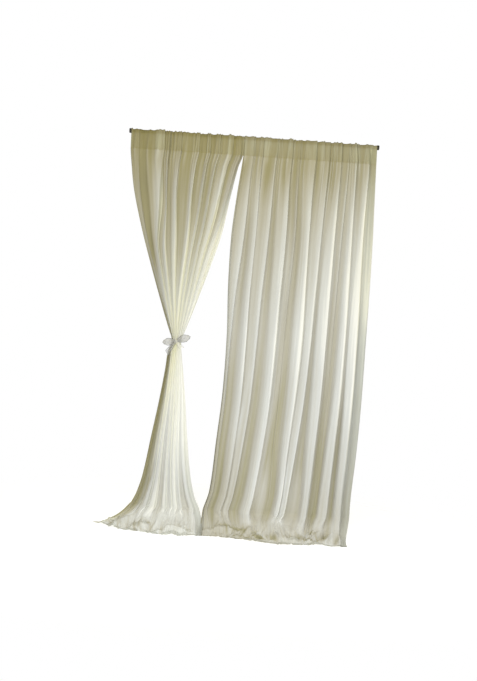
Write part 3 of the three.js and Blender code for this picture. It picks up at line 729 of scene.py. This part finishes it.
def softened(moves, times):
    """Moves averaged with those of the points around them."""
    for _ in range(times):
        wide = np.pad(moves, ((1, 1), (0, 0), (0, 0)), mode="edge")
        moves = (wide[:-2] + 2 * wide[1:-1] + wide[2:]) / 4
        wide = np.pad(moves, ((0, 0), (1, 1), (0, 0)), mode="edge")
        moves = (wide[:, :-2] + 2 * wide[:, 1:-1] + wide[:, 2:]) / 4
    return moves


def settle(panel, cloth):
    first = panel["stitch_row"] + int(np.searchsorted(panel["drops"], SETTLE_DROP))
    part = cloth[first:, :, :3]
    rows = np.unique(np.append(np.arange(0, part.shape[0], SETTLE_ROWS), part.shape[0] - 1))
    columns = np.unique(np.append(np.arange(0, part.shape[1], SETTLE_COLUMNS), part.shape[1] - 1))
    start = part[rows][:, columns]
    piece = grid_piece("settling", start)
    drops = np.append(panel["drops"], np.full(FLOOR_ROWS, FLOOR_DROP))[first - panel["stitch_row"]:][rows]
    held = np.clip((FREE_DROP - drops) / (FREE_DROP - SETTLE_DROP), 0, 1)
    held[:TOP_HOLD_ROWS] = 1.0
    held[-HEM_HOLD_ROWS:] = HEM_HOLD
    row_group(piece, "held", held, len(columns))
    row_group(piece, "let_out", np.clip((drops - FALL_DROP) / (FLOOR_DROP - FALL_DROP), 0, 1), len(columns))
    select_only(piece)
    bpy.ops.object.modifier_add(type="CLOTH")
    simulation = piece.modifiers[-1]
    for name, value in CHIFFON_SETTINGS.items():
        setattr(simulation.settings, name, value)
    for name, value in CONTACT_SETTINGS.items():
        setattr(simulation.collision_settings, name, value)
    for step in range(1, SETTLE_FRAMES + 1):
        bpy.context.scene.frame_set(step)
    settled = np.zeros(len(piece.data.vertices) * 3, np.float32)
    shown = piece.evaluated_get(bpy.context.evaluated_depsgraph_get())
    shown.data.vertices.foreach_get("co", settled)
    settled = settled.reshape(len(rows), len(columns), 3)[::-1] / MM
    bpy.data.objects.remove(piece, do_unlink=True)
    bpy.context.scene.frame_set(1)
    moved = settled - start
    far = np.linalg.norm(moved, axis=2, keepdims=True)
    print(panel["name"], "moves, mm: most", round(float(far.max()), 1), "mean", round(float(far.mean()), 1))
    moved = softened(moved * np.minimum(1, SETTLE_LIMIT / np.maximum(far, 1e-6)), SETTLE_SOFTEN)
    reach = np.linalg.norm(start - start[:, :1], axis=2, keepdims=True)
    other = np.linalg.norm(start - start[:, -1:], axis=2, keepdims=True)
    moved *= np.clip(np.minimum(reach, other) / SIDE_HOLD, 0, 1)
    moved = along(rows, moved, np.arange(part.shape[0]))
    moved = along(columns, moved.transpose(1, 0, 2), np.arange(part.shape[1])).transpose(1, 0, 2)
    part += moved
    part[:, :, 2] = np.maximum(part[:, :, 2], -FLOOR_DROP + FLOOR_LIFT)


select_only(floor)
bpy.ops.object.modifier_add(type="COLLISION")
floor.collision.thickness_outer = FLOOR_THICKNESS
floor.collision.cloth_friction = FLOOR_FRICTION
settle(left_panel, left_cloth)
settle(right_panel, right_cloth)
select_only(floor)
bpy.ops.object.modifier_remove(modifier=floor.modifiers[-1].name)

# %% [markdown]
# ## Rolls on the floor
# The main rolls are placed one by one on the settled cloth. Each is a long mound with a steep front, with a
# painted highlight on its crest and painted shade in the hollow behind it, and a negative height makes a
# trough with painted shade. Small creases between them are drawn at random, most of them running from the
# break of the cloth to its hem. The hem itself lies calmer.

# %% Rolls: middle x and y, direction in degrees, half length, half width, height
LEFT_ROLLS = (
    (-612, -45, 48, 50, 22, 14),
    (-525, -85, 56, 100, 22, 36),
    (-434, -150, 15, 50, 15, 38),
    (-345, -200, 20, 36, 12, 20),
    (-269, -190, -20, 36, 12, 22),
    (-197, -195, 30, 36, 12, 20),
    (-480, -120, 70, 40, 8, -16),
    (-385, -150, 60, 34, 8, -16),
    (-318, -160, 80, 30, 7, -14),
    (-240, -150, 100, 30, 7, -14),
    (-186, -140, 80, 30, 7, -12),
)
RIGHT_ROLLS = (
    (-25, -100, 0, 78, 16, 36),
    (108, -105, 60, 36, 12, 22),
    (68, -75, 30, 32, 8, -18),
    (227, -150, 80, 30, 9, -22),
    (268, -150, 100, 28, 7, -14),
    (309, -150, 80, 28, 7, -14),
    (353, -150, 100, 28, 7, -14),
    (398, -150, 75, 28, 7, -14),
    (454, -130, 70, 40, 8, -16),
    (487, -75, 68, 60, 8, -20),
    (105, -214, 0, 95, 14, 16),
    (247, -190, 111, 62, 12, 26),
    (328, -190, 20, 36, 14, 28),
    (421, -204, -20, 36, 14, 22),
    (512, -110, 68, 75, 17, 28),
    (562, -150, 80, 80, 14, 16),
)
LYING_RISE = 40.0
ROLL_STEEP = 0.5
ROLL_SHARP = 1.4
HOLLOW_BEHIND = 1.4
ROLL_PAINTED_HIGHLIGHT = 0.12
ROLL_PAINTED_SHADE = 0.65
TROUGH_PAINTED_SHADE = 0.45
ROLL_FULL = 16.0
HEM_CALM = 0.3
HEM_CALM_ROWS = 10
CREASES = 80
CREASE_LENGTH = (16.0, 55.0)
CREASE_WIDTH = (3.5, 8.0)
CREASE_HEIGHT = (4.0, 11.0)
CREASE_INSET = 70.0
CREASE_DIRECTION = (35.0, 145.0)
CREASE_REACH = (-185.0, -30.0)


def small_creases(panel):
    random = panel["random"]
    ends = panel["hem"][[0, -1], 0] + (CREASE_INSET, -CREASE_INSET)
    ranges = (ends, CREASE_REACH, CREASE_DIRECTION, CREASE_LENGTH, CREASE_WIDTH, CREASE_HEIGHT)
    return np.stack([random.uniform(*limits, CREASES) for limits in ranges], axis=1)


def lay_rolls(cloth, rolls):
    lying = np.clip((-FALL_DROP - LYING_RISE - cloth[:, :, 2]) / LYING_RISE, 0, 1)
    lying *= np.clip(np.arange(len(cloth))[::-1] / HEM_CALM_ROWS, HEM_CALM, 1)[:, None]
    for x, y, degrees, half_length, half_width, height in rolls:
        angle = math.radians(degrees)
        dx, dy = cloth[:, :, 0] - x, cloth[:, :, 1] - y
        lengthwise = (dx * math.cos(angle) + dy * math.sin(angle)) / half_length
        forward = (dx * math.sin(angle) - dy * math.cos(angle)) / half_width
        here = lying * np.exp(-(lengthwise**2))
        slope = np.abs(np.where(forward > 0, forward / ROLL_STEEP, forward))
        crest = here * np.exp(-(slope**ROLL_SHARP))
        hollow = here * np.exp(-((forward + HOLLOW_BEHIND) ** 2))
        cloth[:, :, 2] += height * crest
        # Painted highlight on a crest and painted shade in the hollow behind it; a trough gets painted shade
        if height > 0:
            cloth[:, :, 3] += min(1.0, height / ROLL_FULL) * (ROLL_PAINTED_SHADE * hollow - ROLL_PAINTED_HIGHLIGHT * crest)
        else:
            cloth[:, :, 3] += TROUGH_PAINTED_SHADE * crest
    cloth[:, :, 2] = np.maximum(cloth[:, :, 2], -FLOOR_DROP + FLOOR_LIFT)


lay_rolls(left_cloth, [*LEFT_ROLLS, *small_creases(left_panel)])
lay_rolls(right_cloth, [*RIGHT_ROLLS, *small_creases(right_panel)])
print("rolls laid by hand:", len(LEFT_ROLLS) + len(RIGHT_ROLLS), "and small creases:", 2 * CREASES)

# %% [markdown]
# ## Hems
# The sides and the bottom edge are turned under once and sewn. On the model too, the last columns and rows of
# the sheet are laid back behind the cloth, so an edge shows its two layers. The back of the pocket is plain,
# so it keeps only every fourth row.

# %% Turn the hems under
BACK_STEP = 4
HEM_GAP = 0.8
HEM_LIFT = 0.5


def hemmed(cloth, flat):
    kept_rows = np.append(np.arange(0, SIDE_ROWS, BACK_STEP), np.arange(SIDE_ROWS, len(cloth)))
    cloth = cloth[kept_rows]
    u, v = flat[0], flat[1][kept_rows]
    normal = front_normals(cloth)
    side = int(np.searchsorted(u, SIDE_HEM))
    end = len(v) - int(np.searchsorted(v, v[-1] - FLOOR_HEM))
    columns, rows = len(u), len(v)
    column_from = np.concatenate([np.arange(side)[::-1], np.arange(columns), columns - 1 - np.arange(side)])
    row_from = np.concatenate([np.arange(rows), rows - 1 - np.arange(end)])
    column_under = np.concatenate([np.ones(side), np.zeros(columns), np.ones(side)])
    row_under = np.concatenate([np.zeros(rows), np.ones(end)])
    under = (row_under[:, None] + column_under)[:, :, None]
    points = cloth[row_from][:, column_from].copy()
    points[:, :, :3] -= HEM_GAP * under * normal[row_from][:, column_from]
    points[:, :, 2] = np.maximum(points[:, :, 2], -FLOOR_DROP + HEM_LIFT)
    wide_u = np.concatenate([-u[:side][::-1], u, 2 * u[-1] - u[::-1][:side]]) + SIDE_HEM
    long_v = np.concatenate([v, 2 * v[-1] - v[::-1][:end]])
    return points, wide_u, long_v


curtain_left = sheet_piece("curtain_panel_left", *hemmed(left_cloth, left_flat), left_warmth)
curtain_right = sheet_piece("curtain_panel_right", *hemmed(right_cloth, right_flat), right_warmth)

# %% [markdown]
# ## The bow
# One length of organza ribbon goes round the gathered cloth and is tied in front, with two loops and two free
# ends. Organza is stiff for its weight, so the loops stand open. Each stretch is a strip: a line of centres
# with half the ribbon's width at each. Where the ribbon is crushed, the width that doesn't fit stands up in
# small pleats, so no cloth is lost. Each piece gets its own grey as painted light and shade: the loops and
# one end are painted greyer, the band, the knot and the other end paler.

# %% Strips of ribbon
RIBBON_WIDTH = 38.0
RIBBON_ACROSS = 25
RIBBON_PLEATS = 3
RIBBON_PLEAT = 2.9
KNOT = np.array([WAIST_X, -40.0, -TIE_DROP])
KNOT_PINCH = 4.0
# Painted light on the band and knot, painted shade on the loops
BAND_PAINTED_LIGHT = -0.35
LOOP_PAINTED_SHADE = 0.14
TOWARDS_VIEWER = np.array([0.0, -1.0, 0.0])


def ribbon(centres, halves, outward, pull, tone):
    """Points of a strip and its flat coordinates. The edges are drawn along by pull."""
    aside = np.linspace(-1, 1, RIBBON_ACROSS)
    size = np.linalg.norm(halves, axis=1)
    crushed = RIBBON_PLEAT * np.sqrt(np.clip(1 - (2 * size / RIBBON_WIDTH) ** 2, 0, 1))
    pleat = crushed[:, None] * np.cos(RIBBON_PLEATS * math.pi * aside)
    outward = outward / np.linalg.norm(outward, axis=1, keepdims=True)
    points = centres[:, None] + halves[:, None] * aside[:, None] + pull[:, None] * aside[:, None] ** 2
    points = points + pleat[:, :, None] * outward[:, None]
    tones = np.full((*points.shape[:2], 1), tone)
    length = np.append(0.0, np.cumsum(np.linalg.norm(np.diff(centres, axis=0), axis=1)))
    return np.concatenate([points, tones], axis=2), (aside + 1) / 2 * RIBBON_WIDTH, length


def bow_direction(degrees):
    return np.array([math.cos(math.radians(degrees)), 0.0, math.sin(math.radians(degrees))])


# %% Band and knot
BAND_GAP = 4.2
BAND_HALF_HEIGHT = 6.0
BAND_STEPS = 65
KNOT_HALF = np.array([8.0, 5.0, 7.5])
KNOT_STEPS = 33


def ring(middle, first, second, half, steps):
    """A closed strip round an ellipse with the half axes first and second."""
    turn = np.linspace(0, 2 * math.pi, steps)[:, None]
    spoke = np.cos(turn) * first / first.dot(first) + np.sin(turn) * second / second.dot(second)
    centres = middle + np.cos(turn) * first + np.sin(turn) * second
    return ribbon(centres, np.tile(half, (steps, 1)), spoke, np.zeros((steps, 3)), BAND_PAINTED_LIGHT)


band = ring(
    np.array([WAIST_X, WAIST_Y, -TIE_DROP]),
    np.array([WAIST_HALF_WIDTH + BAND_GAP, 0.0, 0.0]),
    np.array([0.0, WAIST_HALF_DEPTH + BAND_GAP, 0.0]),
    np.array([0.0, 0.0, BAND_HALF_HEIGHT]),
    BAND_STEPS,
)
knot = ring(KNOT, *(KNOT_HALF * np.eye(3))[1:], np.array([KNOT_HALF[0], 0.0, 0.0]), KNOT_STEPS)

# %% Loops: direction in degrees, reach, half height; ends: those, how far they stand forward, and their painted grey
BOW_LOOPS = ((190, 68, 19), (20, 76, 19))
BOW_ENDS = ((236, 78, 13, 6, 0.2), (312, 46, 11, 3, -0.2))
LOOP_STEPS = 61
LOOP_ENDS = (0.02, 0.98)
LOOP_BELLY = 13.0
LOOP_ROUND = 0.24
LOOP_FULLEST = 0.72
END_STEPS = 31
END_SLANT = 0.5


def bow_loop(toward, reach, tall):
    out, up = bow_direction(toward), bow_direction(toward + 90)
    way = np.linspace(*LOOP_ENDS, LOOP_STEPS)[:, None]
    far = np.sin(math.pi * way)
    centres = KNOT + reach * far * out + LOOP_BELLY * np.sin(2 * math.pi * way) * TOWARDS_VIEWER
    halves = (KNOT_PINCH + (tall - KNOT_PINCH) * np.sin(LOOP_FULLEST * math.pi * far)) * up
    outward = np.cross(np.gradient(centres, axis=0), up)
    return ribbon(centres, halves, outward, -LOOP_ROUND * reach * far**2 * out, LOOP_PAINTED_SHADE)


def bow_end(toward, reach, tall, forward, painted_tone):
    out, side = bow_direction(toward), bow_direction(toward + 90)
    way = np.linspace(0, 1, END_STEPS)[:, None]
    centres = KNOT + reach * way * out + forward * np.sin(math.pi * way) * TOWARDS_VIEWER
    halves = (KNOT_PINCH + (tall - KNOT_PINCH) * np.sqrt(way)) * (side + END_SLANT * way * out)
    return ribbon(centres, halves, np.tile(TOWARDS_VIEWER, (END_STEPS, 1)), np.zeros((END_STEPS, 3)), painted_tone)


strips = [band, knot, *(bow_loop(*row) for row in BOW_LOOPS), *(bow_end(*row) for row in BOW_ENDS)]
pieces = [sheet_piece(f"ribbon_{k}", *strip) for k, strip in enumerate(strips)]
select_only(pieces[0])
for piece in pieces:
    piece.select_set(True)
bpy.ops.object.join()
tie_bow = pieces[0]
tie_bow.name = "tie_bow"
tie_bow.data.name = "tie_bow"

# %% [markdown]
# ## Rod and end caps
# The rod is a thin steel tube with a plastic cap pushed over each end. The tube starts as an open cylinder,
# and a Solidify modifier gives it a wall. A cap starts as a closed cylinder: a bevel rounds its outer rim,
# and its inner face is inset and pushed in, which leaves the socket for the tube.

# %% Rod
ROUND_SIDES = 48
ROD_HALF_LENGTH = 632.7
ROD_WALL = 1.0
SMOOTH_ANGLE = math.radians(35)


def turned(name, radius, length, middle, ends):
    """A cylinder along X with its middle at the given x."""
    bpy.ops.object.select_all(action="DESELECT")
    bpy.ops.mesh.primitive_cylinder_add(
        vertices=ROUND_SIDES,
        radius=radius * MM,
        depth=length * MM,
        end_fill_type=ends,
        location=(middle * MM, 0, 0),
        rotation=(0, math.pi / 2, 0),
    )
    piece = bpy.context.object
    piece.name = name
    piece.data.name = name
    bpy.ops.object.transform_apply(location=True, rotation=True, scale=True)
    return piece


rod_tube = turned("rod_tube", ROD_RADIUS, 2 * ROD_HALF_LENGTH, 0, "NOTHING")
bpy.ops.object.modifier_add(type="SOLIDIFY")
rod_tube.modifiers[-1].thickness = ROD_WALL * MM
bpy.ops.object.modifier_apply(modifier=rod_tube.modifiers[-1].name)
bpy.ops.object.shade_smooth_by_angle(angle=SMOOTH_ANGLE)
print("rod faces:", len(rod_tube.data.polygons))

# %% End caps
CAP_RADIUS = 12.0
CAP_LENGTH = 11.0
CAP_MIDDLE = 632.5
CAP_RIM = 2.0
CAP_BORE = 7.3
CAP_SOCKET = 6.0
CAP_RIM_STEPS = 3
FACES_ALONG = 0.9


def pick_faces(piece, wanted):
    bpy.ops.object.mode_set(mode="EDIT")
    bpy.ops.mesh.select_mode(type="FACE")
    bpy.ops.mesh.select_all(action="DESELECT")
    bpy.ops.object.mode_set(mode="OBJECT")
    for face in piece.data.polygons:
        face.select = wanted(face)
    bpy.ops.object.mode_set(mode="EDIT")


def end_cap(name, side):
    piece = turned(name, CAP_RADIUS, CAP_LENGTH, side * CAP_MIDDLE, "NGON")
    pick_faces(piece, lambda face: face.normal.x * side > FACES_ALONG)
    bpy.ops.mesh.bevel(offset=CAP_RIM * MM, segments=CAP_RIM_STEPS, affect="EDGES")
    bpy.ops.object.mode_set(mode="OBJECT")
    pick_faces(piece, lambda face: face.normal.x * side < -FACES_ALONG)
    bpy.ops.mesh.inset(thickness=(CAP_RADIUS - CAP_BORE) * MM)
    bpy.ops.mesh.extrude_region_move(TRANSFORM_OT_translate={"value": (side * CAP_SOCKET * MM, 0, 0)})
    bpy.ops.object.mode_set(mode="OBJECT")
    bpy.ops.object.shade_smooth_by_angle(angle=SMOOTH_ANGLE)
    print(name, "faces:", len(piece.data.polygons))
    return piece


end_cap_left = end_cap("end_cap_left", -1)
end_cap_right = end_cap("end_cap_right", 1)

# %% [markdown]
# ## Chiffon
# Chiffon is a thin plain weave of twisted threads. Light partly bounces off it, partly glows through it, and
# a little passes straight between the threads. The tone attribute runs from pale folds to darker recesses,
# painted highlights and painted shade, and sets the colour and the sheerness, with fine streaks along the
# threads, and the warm attribute makes the colour yellower, partly as painted warm light and shade. A small
# helper adds a node and joins it to the ones before, so a finish reads from its coordinates to its surface.

# %% Add nodes and join them
class NodeTree:
    """The nodes of a material or of the world."""

    def __init__(self, owner):
        owner.use_nodes = True
        self.tree = owner.node_tree
        self.tree.nodes.clear()

    def add(self, kind, *values, settings=None, **named):
        """A node. A value for a socket is a number, or a node or output to link. _ stands for a space."""
        node = self.tree.nodes.new("ShaderNode" + kind)
        for name, value in (settings or {}).items():
            setattr(node, name, value)
        sockets = [*enumerate(values), *((name.replace("_", " "), value) for name, value in named.items())]
        for name, value in sockets:
            if isinstance(value, bpy.types.Node):
                value = value.outputs[0]
            if isinstance(value, bpy.types.NodeSocket):
                self.tree.links.new(value, node.inputs[name])
            else:
                node.inputs[name].default_value = value
        return node

    def attribute(self, name):
        return self.add("Attribute", settings={"attribute_name": name}).outputs["Fac"]

    def ramp(self, place, stops):
        """Colours along a ramp, at places from 0 to 1."""
        node = self.add("ValToRGB", place)
        while len(node.color_ramp.elements) < len(stops):
            node.color_ramp.elements.new(0.5)
        for stop, (value, colour) in zip(node.color_ramp.elements, stops):
            stop.position = value
            stop.color = (*colour, 1)
        return node


# %% Noise, weave and the layers of a sheer cloth
NOISE_DETAIL = 3.0
NOISE_RANGE = (0.3, 0.7)
THREAD_WANDER = 0.6
THREAD_STRENGTH = 0.12


def noise(tree, coordinates, scale, low, high):
    """Noise from coordinates stretched by scale, between low and high."""
    stretch = tree.add("Mapping", Vector=coordinates, Scale=scale)
    texture = tree.add("TexNoise", Vector=stretch, Scale=1.0, Detail=NOISE_DETAIL)
    return tree.add("MapRange", texture, *NOISE_RANGE, low, high)


def weave(tree, coordinates, pitch, height):
    """Crossing threads as a bump."""
    threads = []
    for direction in ("X", "Y"):
        wave = tree.add(
            "TexWave",
            Vector=coordinates,
            Scale=2 * math.pi / (20 * pitch),
            Distortion=THREAD_WANDER,
            settings={"bands_direction": direction},
        )
        threads.append(wave.outputs["Fac"])
    higher = tree.add("Math", *threads, settings={"operation": "MAXIMUM"})
    return tree.add("Bump", Height=higher, Strength=THREAD_STRENGTH, Distance=height)


def sheer_cloth(tree, colour, glow_share, sheer, **looks):
    """A surface, light that glows through it, and gaps between the threads."""
    surface = tree.add("BsdfPrincipled", Base_Color=colour, **looks)
    cloth = tree.add("MixShader", glow_share, surface, tree.add("BsdfTranslucent", Color=colour))
    tree.add("OutputMaterial", Surface=tree.add("MixShader", sheer, cloth, tree.add("BsdfTransparent")))


# %% Chiffon: colours by tone
TONE_LOW = -0.35
TONE_HIGH = 1.6
# The pale stops are painted highlights and the dark ones painted shade
CHIFFON_TONES = (
    (-0.35, (0.97, 0.97, 0.9)),
    (0.05, (0.64, 0.655, 0.63)),
    (0.6, (0.49, 0.47, 0.39)),
    (0.85, (0.43, 0.405, 0.30)),
    (1.05, (0.385, 0.36, 0.225)),
    (1.6, (0.20, 0.185, 0.10)),
)
WARM_COLOUR = (1.0, 0.98, 0.66, 1.0)
SHEER_PALE = 0.36
SHEER_DENSE = 0.03
CHIFFON_GLOW = 0.4
CHIFFON_THREAD = (0.0011, 0.0004)


def chiffon_material():
    material = bpy.data.materials.new("chiffon")
    tree = NodeTree(material)
    flat = tree.add("UVMap")
    tone = tree.attribute("tone")
    broad = tree.add("Math", tone, noise(tree, flat, (14.0, 1.6, 1.0), -0.09, 0.09))
    streaked = tree.add("Math", broad, noise(tree, flat, (95.0, 1.6, 1.0), -0.16, 0.16))
    place = tree.add("MapRange", streaked, TONE_LOW, TONE_HIGH)
    stops = [((value - TONE_LOW) / (TONE_HIGH - TONE_LOW), colour) for value, colour in CHIFFON_TONES]
    warmed = tree.add(
        "Mix",
        Factor=tree.attribute("warm"),
        A=tree.ramp(place, stops),
        B=WARM_COLOUR,
        settings={"data_type": "RGBA", "blend_type": "MULTIPLY"},
    ).outputs["Result"]
    sheer_cloth(
        tree,
        warmed,
        CHIFFON_GLOW,
        tree.add("MapRange", tone, TONE_LOW, 1.0, SHEER_PALE, SHEER_DENSE),
        Roughness=noise(tree, flat, (240.0, 240.0, 1.0), 0.62, 0.85),
        Normal=weave(tree, flat, *CHIFFON_THREAD),
        Specular_IOR_Level=0.2,
        Sheen_Weight=0.2,
    )
    return material


chiffon = chiffon_material()
for panel_piece, node in ((curtain_left, "curtain_left"), (curtain_right, "curtain_right")):
    panel_piece.data.materials.append(chiffon)
    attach(panel_piece, "root")
    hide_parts(node)
print("chiffon nodes:", len(chiffon.node_tree.nodes))

# %% [markdown]
# ## Organza, paint and plastic
# Organza is woven of fine stiff threads with gaps between them, so almost half of the light passes straight
# through. Only its woven edges are dense. The rod's satin paint and the caps' matt plastic are both dark, so
# slight changes of roughness and a fine bump do most of the work.

# %% Organza material
SELVEDGE = (0.0165, 0.0178)
ORGANZA_TONES = ((0.0, (0.93, 0.92, 0.86)), (0.4, (0.42, 0.42, 0.43)), (1.0, (0.16, 0.16, 0.17)))
ORGANZA_SHEER = (0.42, 0.1)
ORGANZA_GLOW = 0.35
ORGANZA_THREAD = (0.0007, 0.0002)


def organza_material():
    material = bpy.data.materials.new("organza")
    tree = NodeTree(material)
    flat = tree.add("UVMap")
    across_ribbon = tree.add("SeparateXYZ", flat).outputs["X"]
    aside = tree.add("Math", across_ribbon, RIBBON_WIDTH * MM / 2, settings={"operation": "SUBTRACT"})
    off = tree.add("Math", aside, settings={"operation": "ABSOLUTE"})
    edge = tree.add("MapRange", off, *SELVEDGE)
    dense = tree.add("Math", edge, noise(tree, flat, (300.0, 60.0, 1.0), 0.0, 0.3))
    colour = tree.ramp(tree.add("Math", dense, tree.attribute("tone")), ORGANZA_TONES)
    sheer_cloth(
        tree,
        colour,
        ORGANZA_GLOW,
        tree.add("MapRange", edge, 0.0, 1.0, *ORGANZA_SHEER),
        Roughness=noise(tree, flat, (500.0, 500.0, 1.0), 0.3, 0.5),
        Normal=weave(tree, flat, *ORGANZA_THREAD),
        Sheen_Weight=0.3,
    )
    return material


tie_bow.data.materials.clear()
tie_bow.data.materials.append(organza_material())
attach(tie_bow, "root")
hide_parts("tie_ribbon")
print("organza nodes:", len(tie_bow.data.materials[0].node_tree.nodes))


# %% Paint and plastic
def dark_material(name, dark, light, roughness, metallic, grain, depth):
    """A dark finish with a slight change of colour and roughness and a fine bump."""
    material = bpy.data.materials.new(name)
    tree = NodeTree(material)
    place = tree.add("TexCoord").outputs["Object"]
    bump = tree.add("Bump", Height=noise(tree, place, (grain,) * 3, 0.0, 1.0), Strength=0.2, Distance=depth)
    surface = tree.add(
        "BsdfPrincipled",
        Base_Color=tree.ramp(noise(tree, place, (60.0,) * 3, 0.0, 1.0), ((0.0, dark), (1.0, light))),
        Roughness=noise(tree, place, (200.0,) * 3, *roughness),
        Normal=bump,
        Metallic=metallic,
    )
    tree.add("OutputMaterial", Surface=surface)
    return material


PAINT_COLOURS = ((0.055, 0.055, 0.048), (0.085, 0.083, 0.072))
PLASTIC_COLOURS = ((0.018, 0.017, 0.013), (0.032, 0.03, 0.024))
paint = dark_material("satin_paint", *PAINT_COLOURS, (0.3, 0.45), 0.5, 900.0, 0.0002)
plastic = dark_material("matt_plastic", *PLASTIC_COLOURS, (0.5, 0.7), 0.0, 1500.0, 0.0003)
for piece, node, material, slot in (
    (rod_tube, "rod", paint, "rod_metal"),
    (end_cap_left, "rod_cap_left", plastic, "cap"),
    (end_cap_right, "rod_cap_right", plastic, "cap"),
):
    piece.data.materials.append(material)
    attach(piece, "root")
    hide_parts(node)
print("finishes of the rod and caps:", paint.name, plastic.name)

# %% [markdown]
# ## Studio
# The floor is plain and pale, and fades out so that no horizon shows. The light is soft, low and from the
# front.

# %% Floor material
FLOOR_COLOUR = (0.7, 0.7, 0.7, 1)
FLOOR_GLOW = 0.75
FLOOR_FADE = (0.5, 1.8)


def floor_material():
    material = bpy.data.materials.new("pale_floor")
    tree = NodeTree(material)
    glow = tree.add("Emission", Strength=FLOOR_GLOW)
    both = tree.add("AddShader", tree.add("BsdfDiffuse", Color=FLOOR_COLOUR), glow)
    away = tree.add("VectorMath", tree.add("TexCoord").outputs["Object"], settings={"operation": "LENGTH"})
    soft = {"interpolation_type": "SMOOTHSTEP"}
    share = tree.add("MapRange", away.outputs["Value"], *FLOOR_FADE, settings=soft)
    tree.add("OutputMaterial", Surface=tree.add("MixShader", share, both, tree.add("BsdfTransparent")))
    return material


floor.data.materials.append(floor_material())
print("the floor fades out between, m:", FLOOR_FADE)

# %% Light
world = bpy.data.worlds.new("studio")
bpy.context.scene.world = world
sky = NodeTree(world)
fill = sky.add("Background", Color=(1.0, 0.94, 0.75, 1), Strength=0.34)
seen = sky.add("Background", Color=(1, 1, 1, 1))
by_camera = sky.add("LightPath").outputs["Is Camera Ray"]
sky.add("OutputWorld", Surface=sky.add("MixShader", by_camera, fill, seen))


def area_light(name, place, target, size, power, colour):
    bpy.ops.object.select_all(action="DESELECT")
    bpy.ops.object.light_add(type="AREA", location=place)
    lamp = bpy.context.object
    lamp.name = name
    lamp.data.shape = "RECTANGLE"
    lamp.data.size, lamp.data.size_y = size
    lamp.data.energy = power
    lamp.data.color = colour
    lamp.visible_camera = False
    aim = np.array(target) - np.array(place)
    flat = math.hypot(aim[0], aim[1])
    lamp.rotation_euler = (math.atan2(flat, -aim[2]), 0, math.atan2(-aim[0], aim[1]))
    return lamp


# Name, place, target, size in metres, power and colour
LIGHTS = (
    ("key", (0.05, -1.6, -1.15), (0.0, 0.0, -1.1), (1.7, 1.1), 30, (0.9, 0.95, 1.0)),
    ("warm", (0.0, -1.5, 0.35), (0.0, 0.0, -0.2), (1.6, 0.4), 12, (1.0, 0.84, 0.4)),
)
for light in LIGHTS:
    area_light(*light)
bpy.context.scene.view_settings.view_transform = "Standard"
print("lights:", [light[0] for light in LIGHTS])

# %% Camera
CAMERA_DISTANCE = 4.5
CAMERA_DROP = 1.03
CAMERA_SIDE = -0.009
CAMERA_ROLL = math.radians(-4.0)
FRAME_HEIGHT = 3.473
SENSOR = 36.0
camera_data = bpy.data.cameras.new("camera")
camera_data.sensor_width = SENSOR
camera_data.lens = SENSOR * CAMERA_DISTANCE / FRAME_HEIGHT
camera = bpy.data.objects.new("camera", camera_data)
bpy.context.scene.collection.objects.link(camera)
camera.location = (CAMERA_SIDE, -CAMERA_DISTANCE, -CAMERA_DROP)
camera.rotation_euler = (math.pi / 2, CAMERA_ROLL, 0)
bpy.context.scene.camera = camera
print("lens, mm:", round(camera_data.lens, 1))
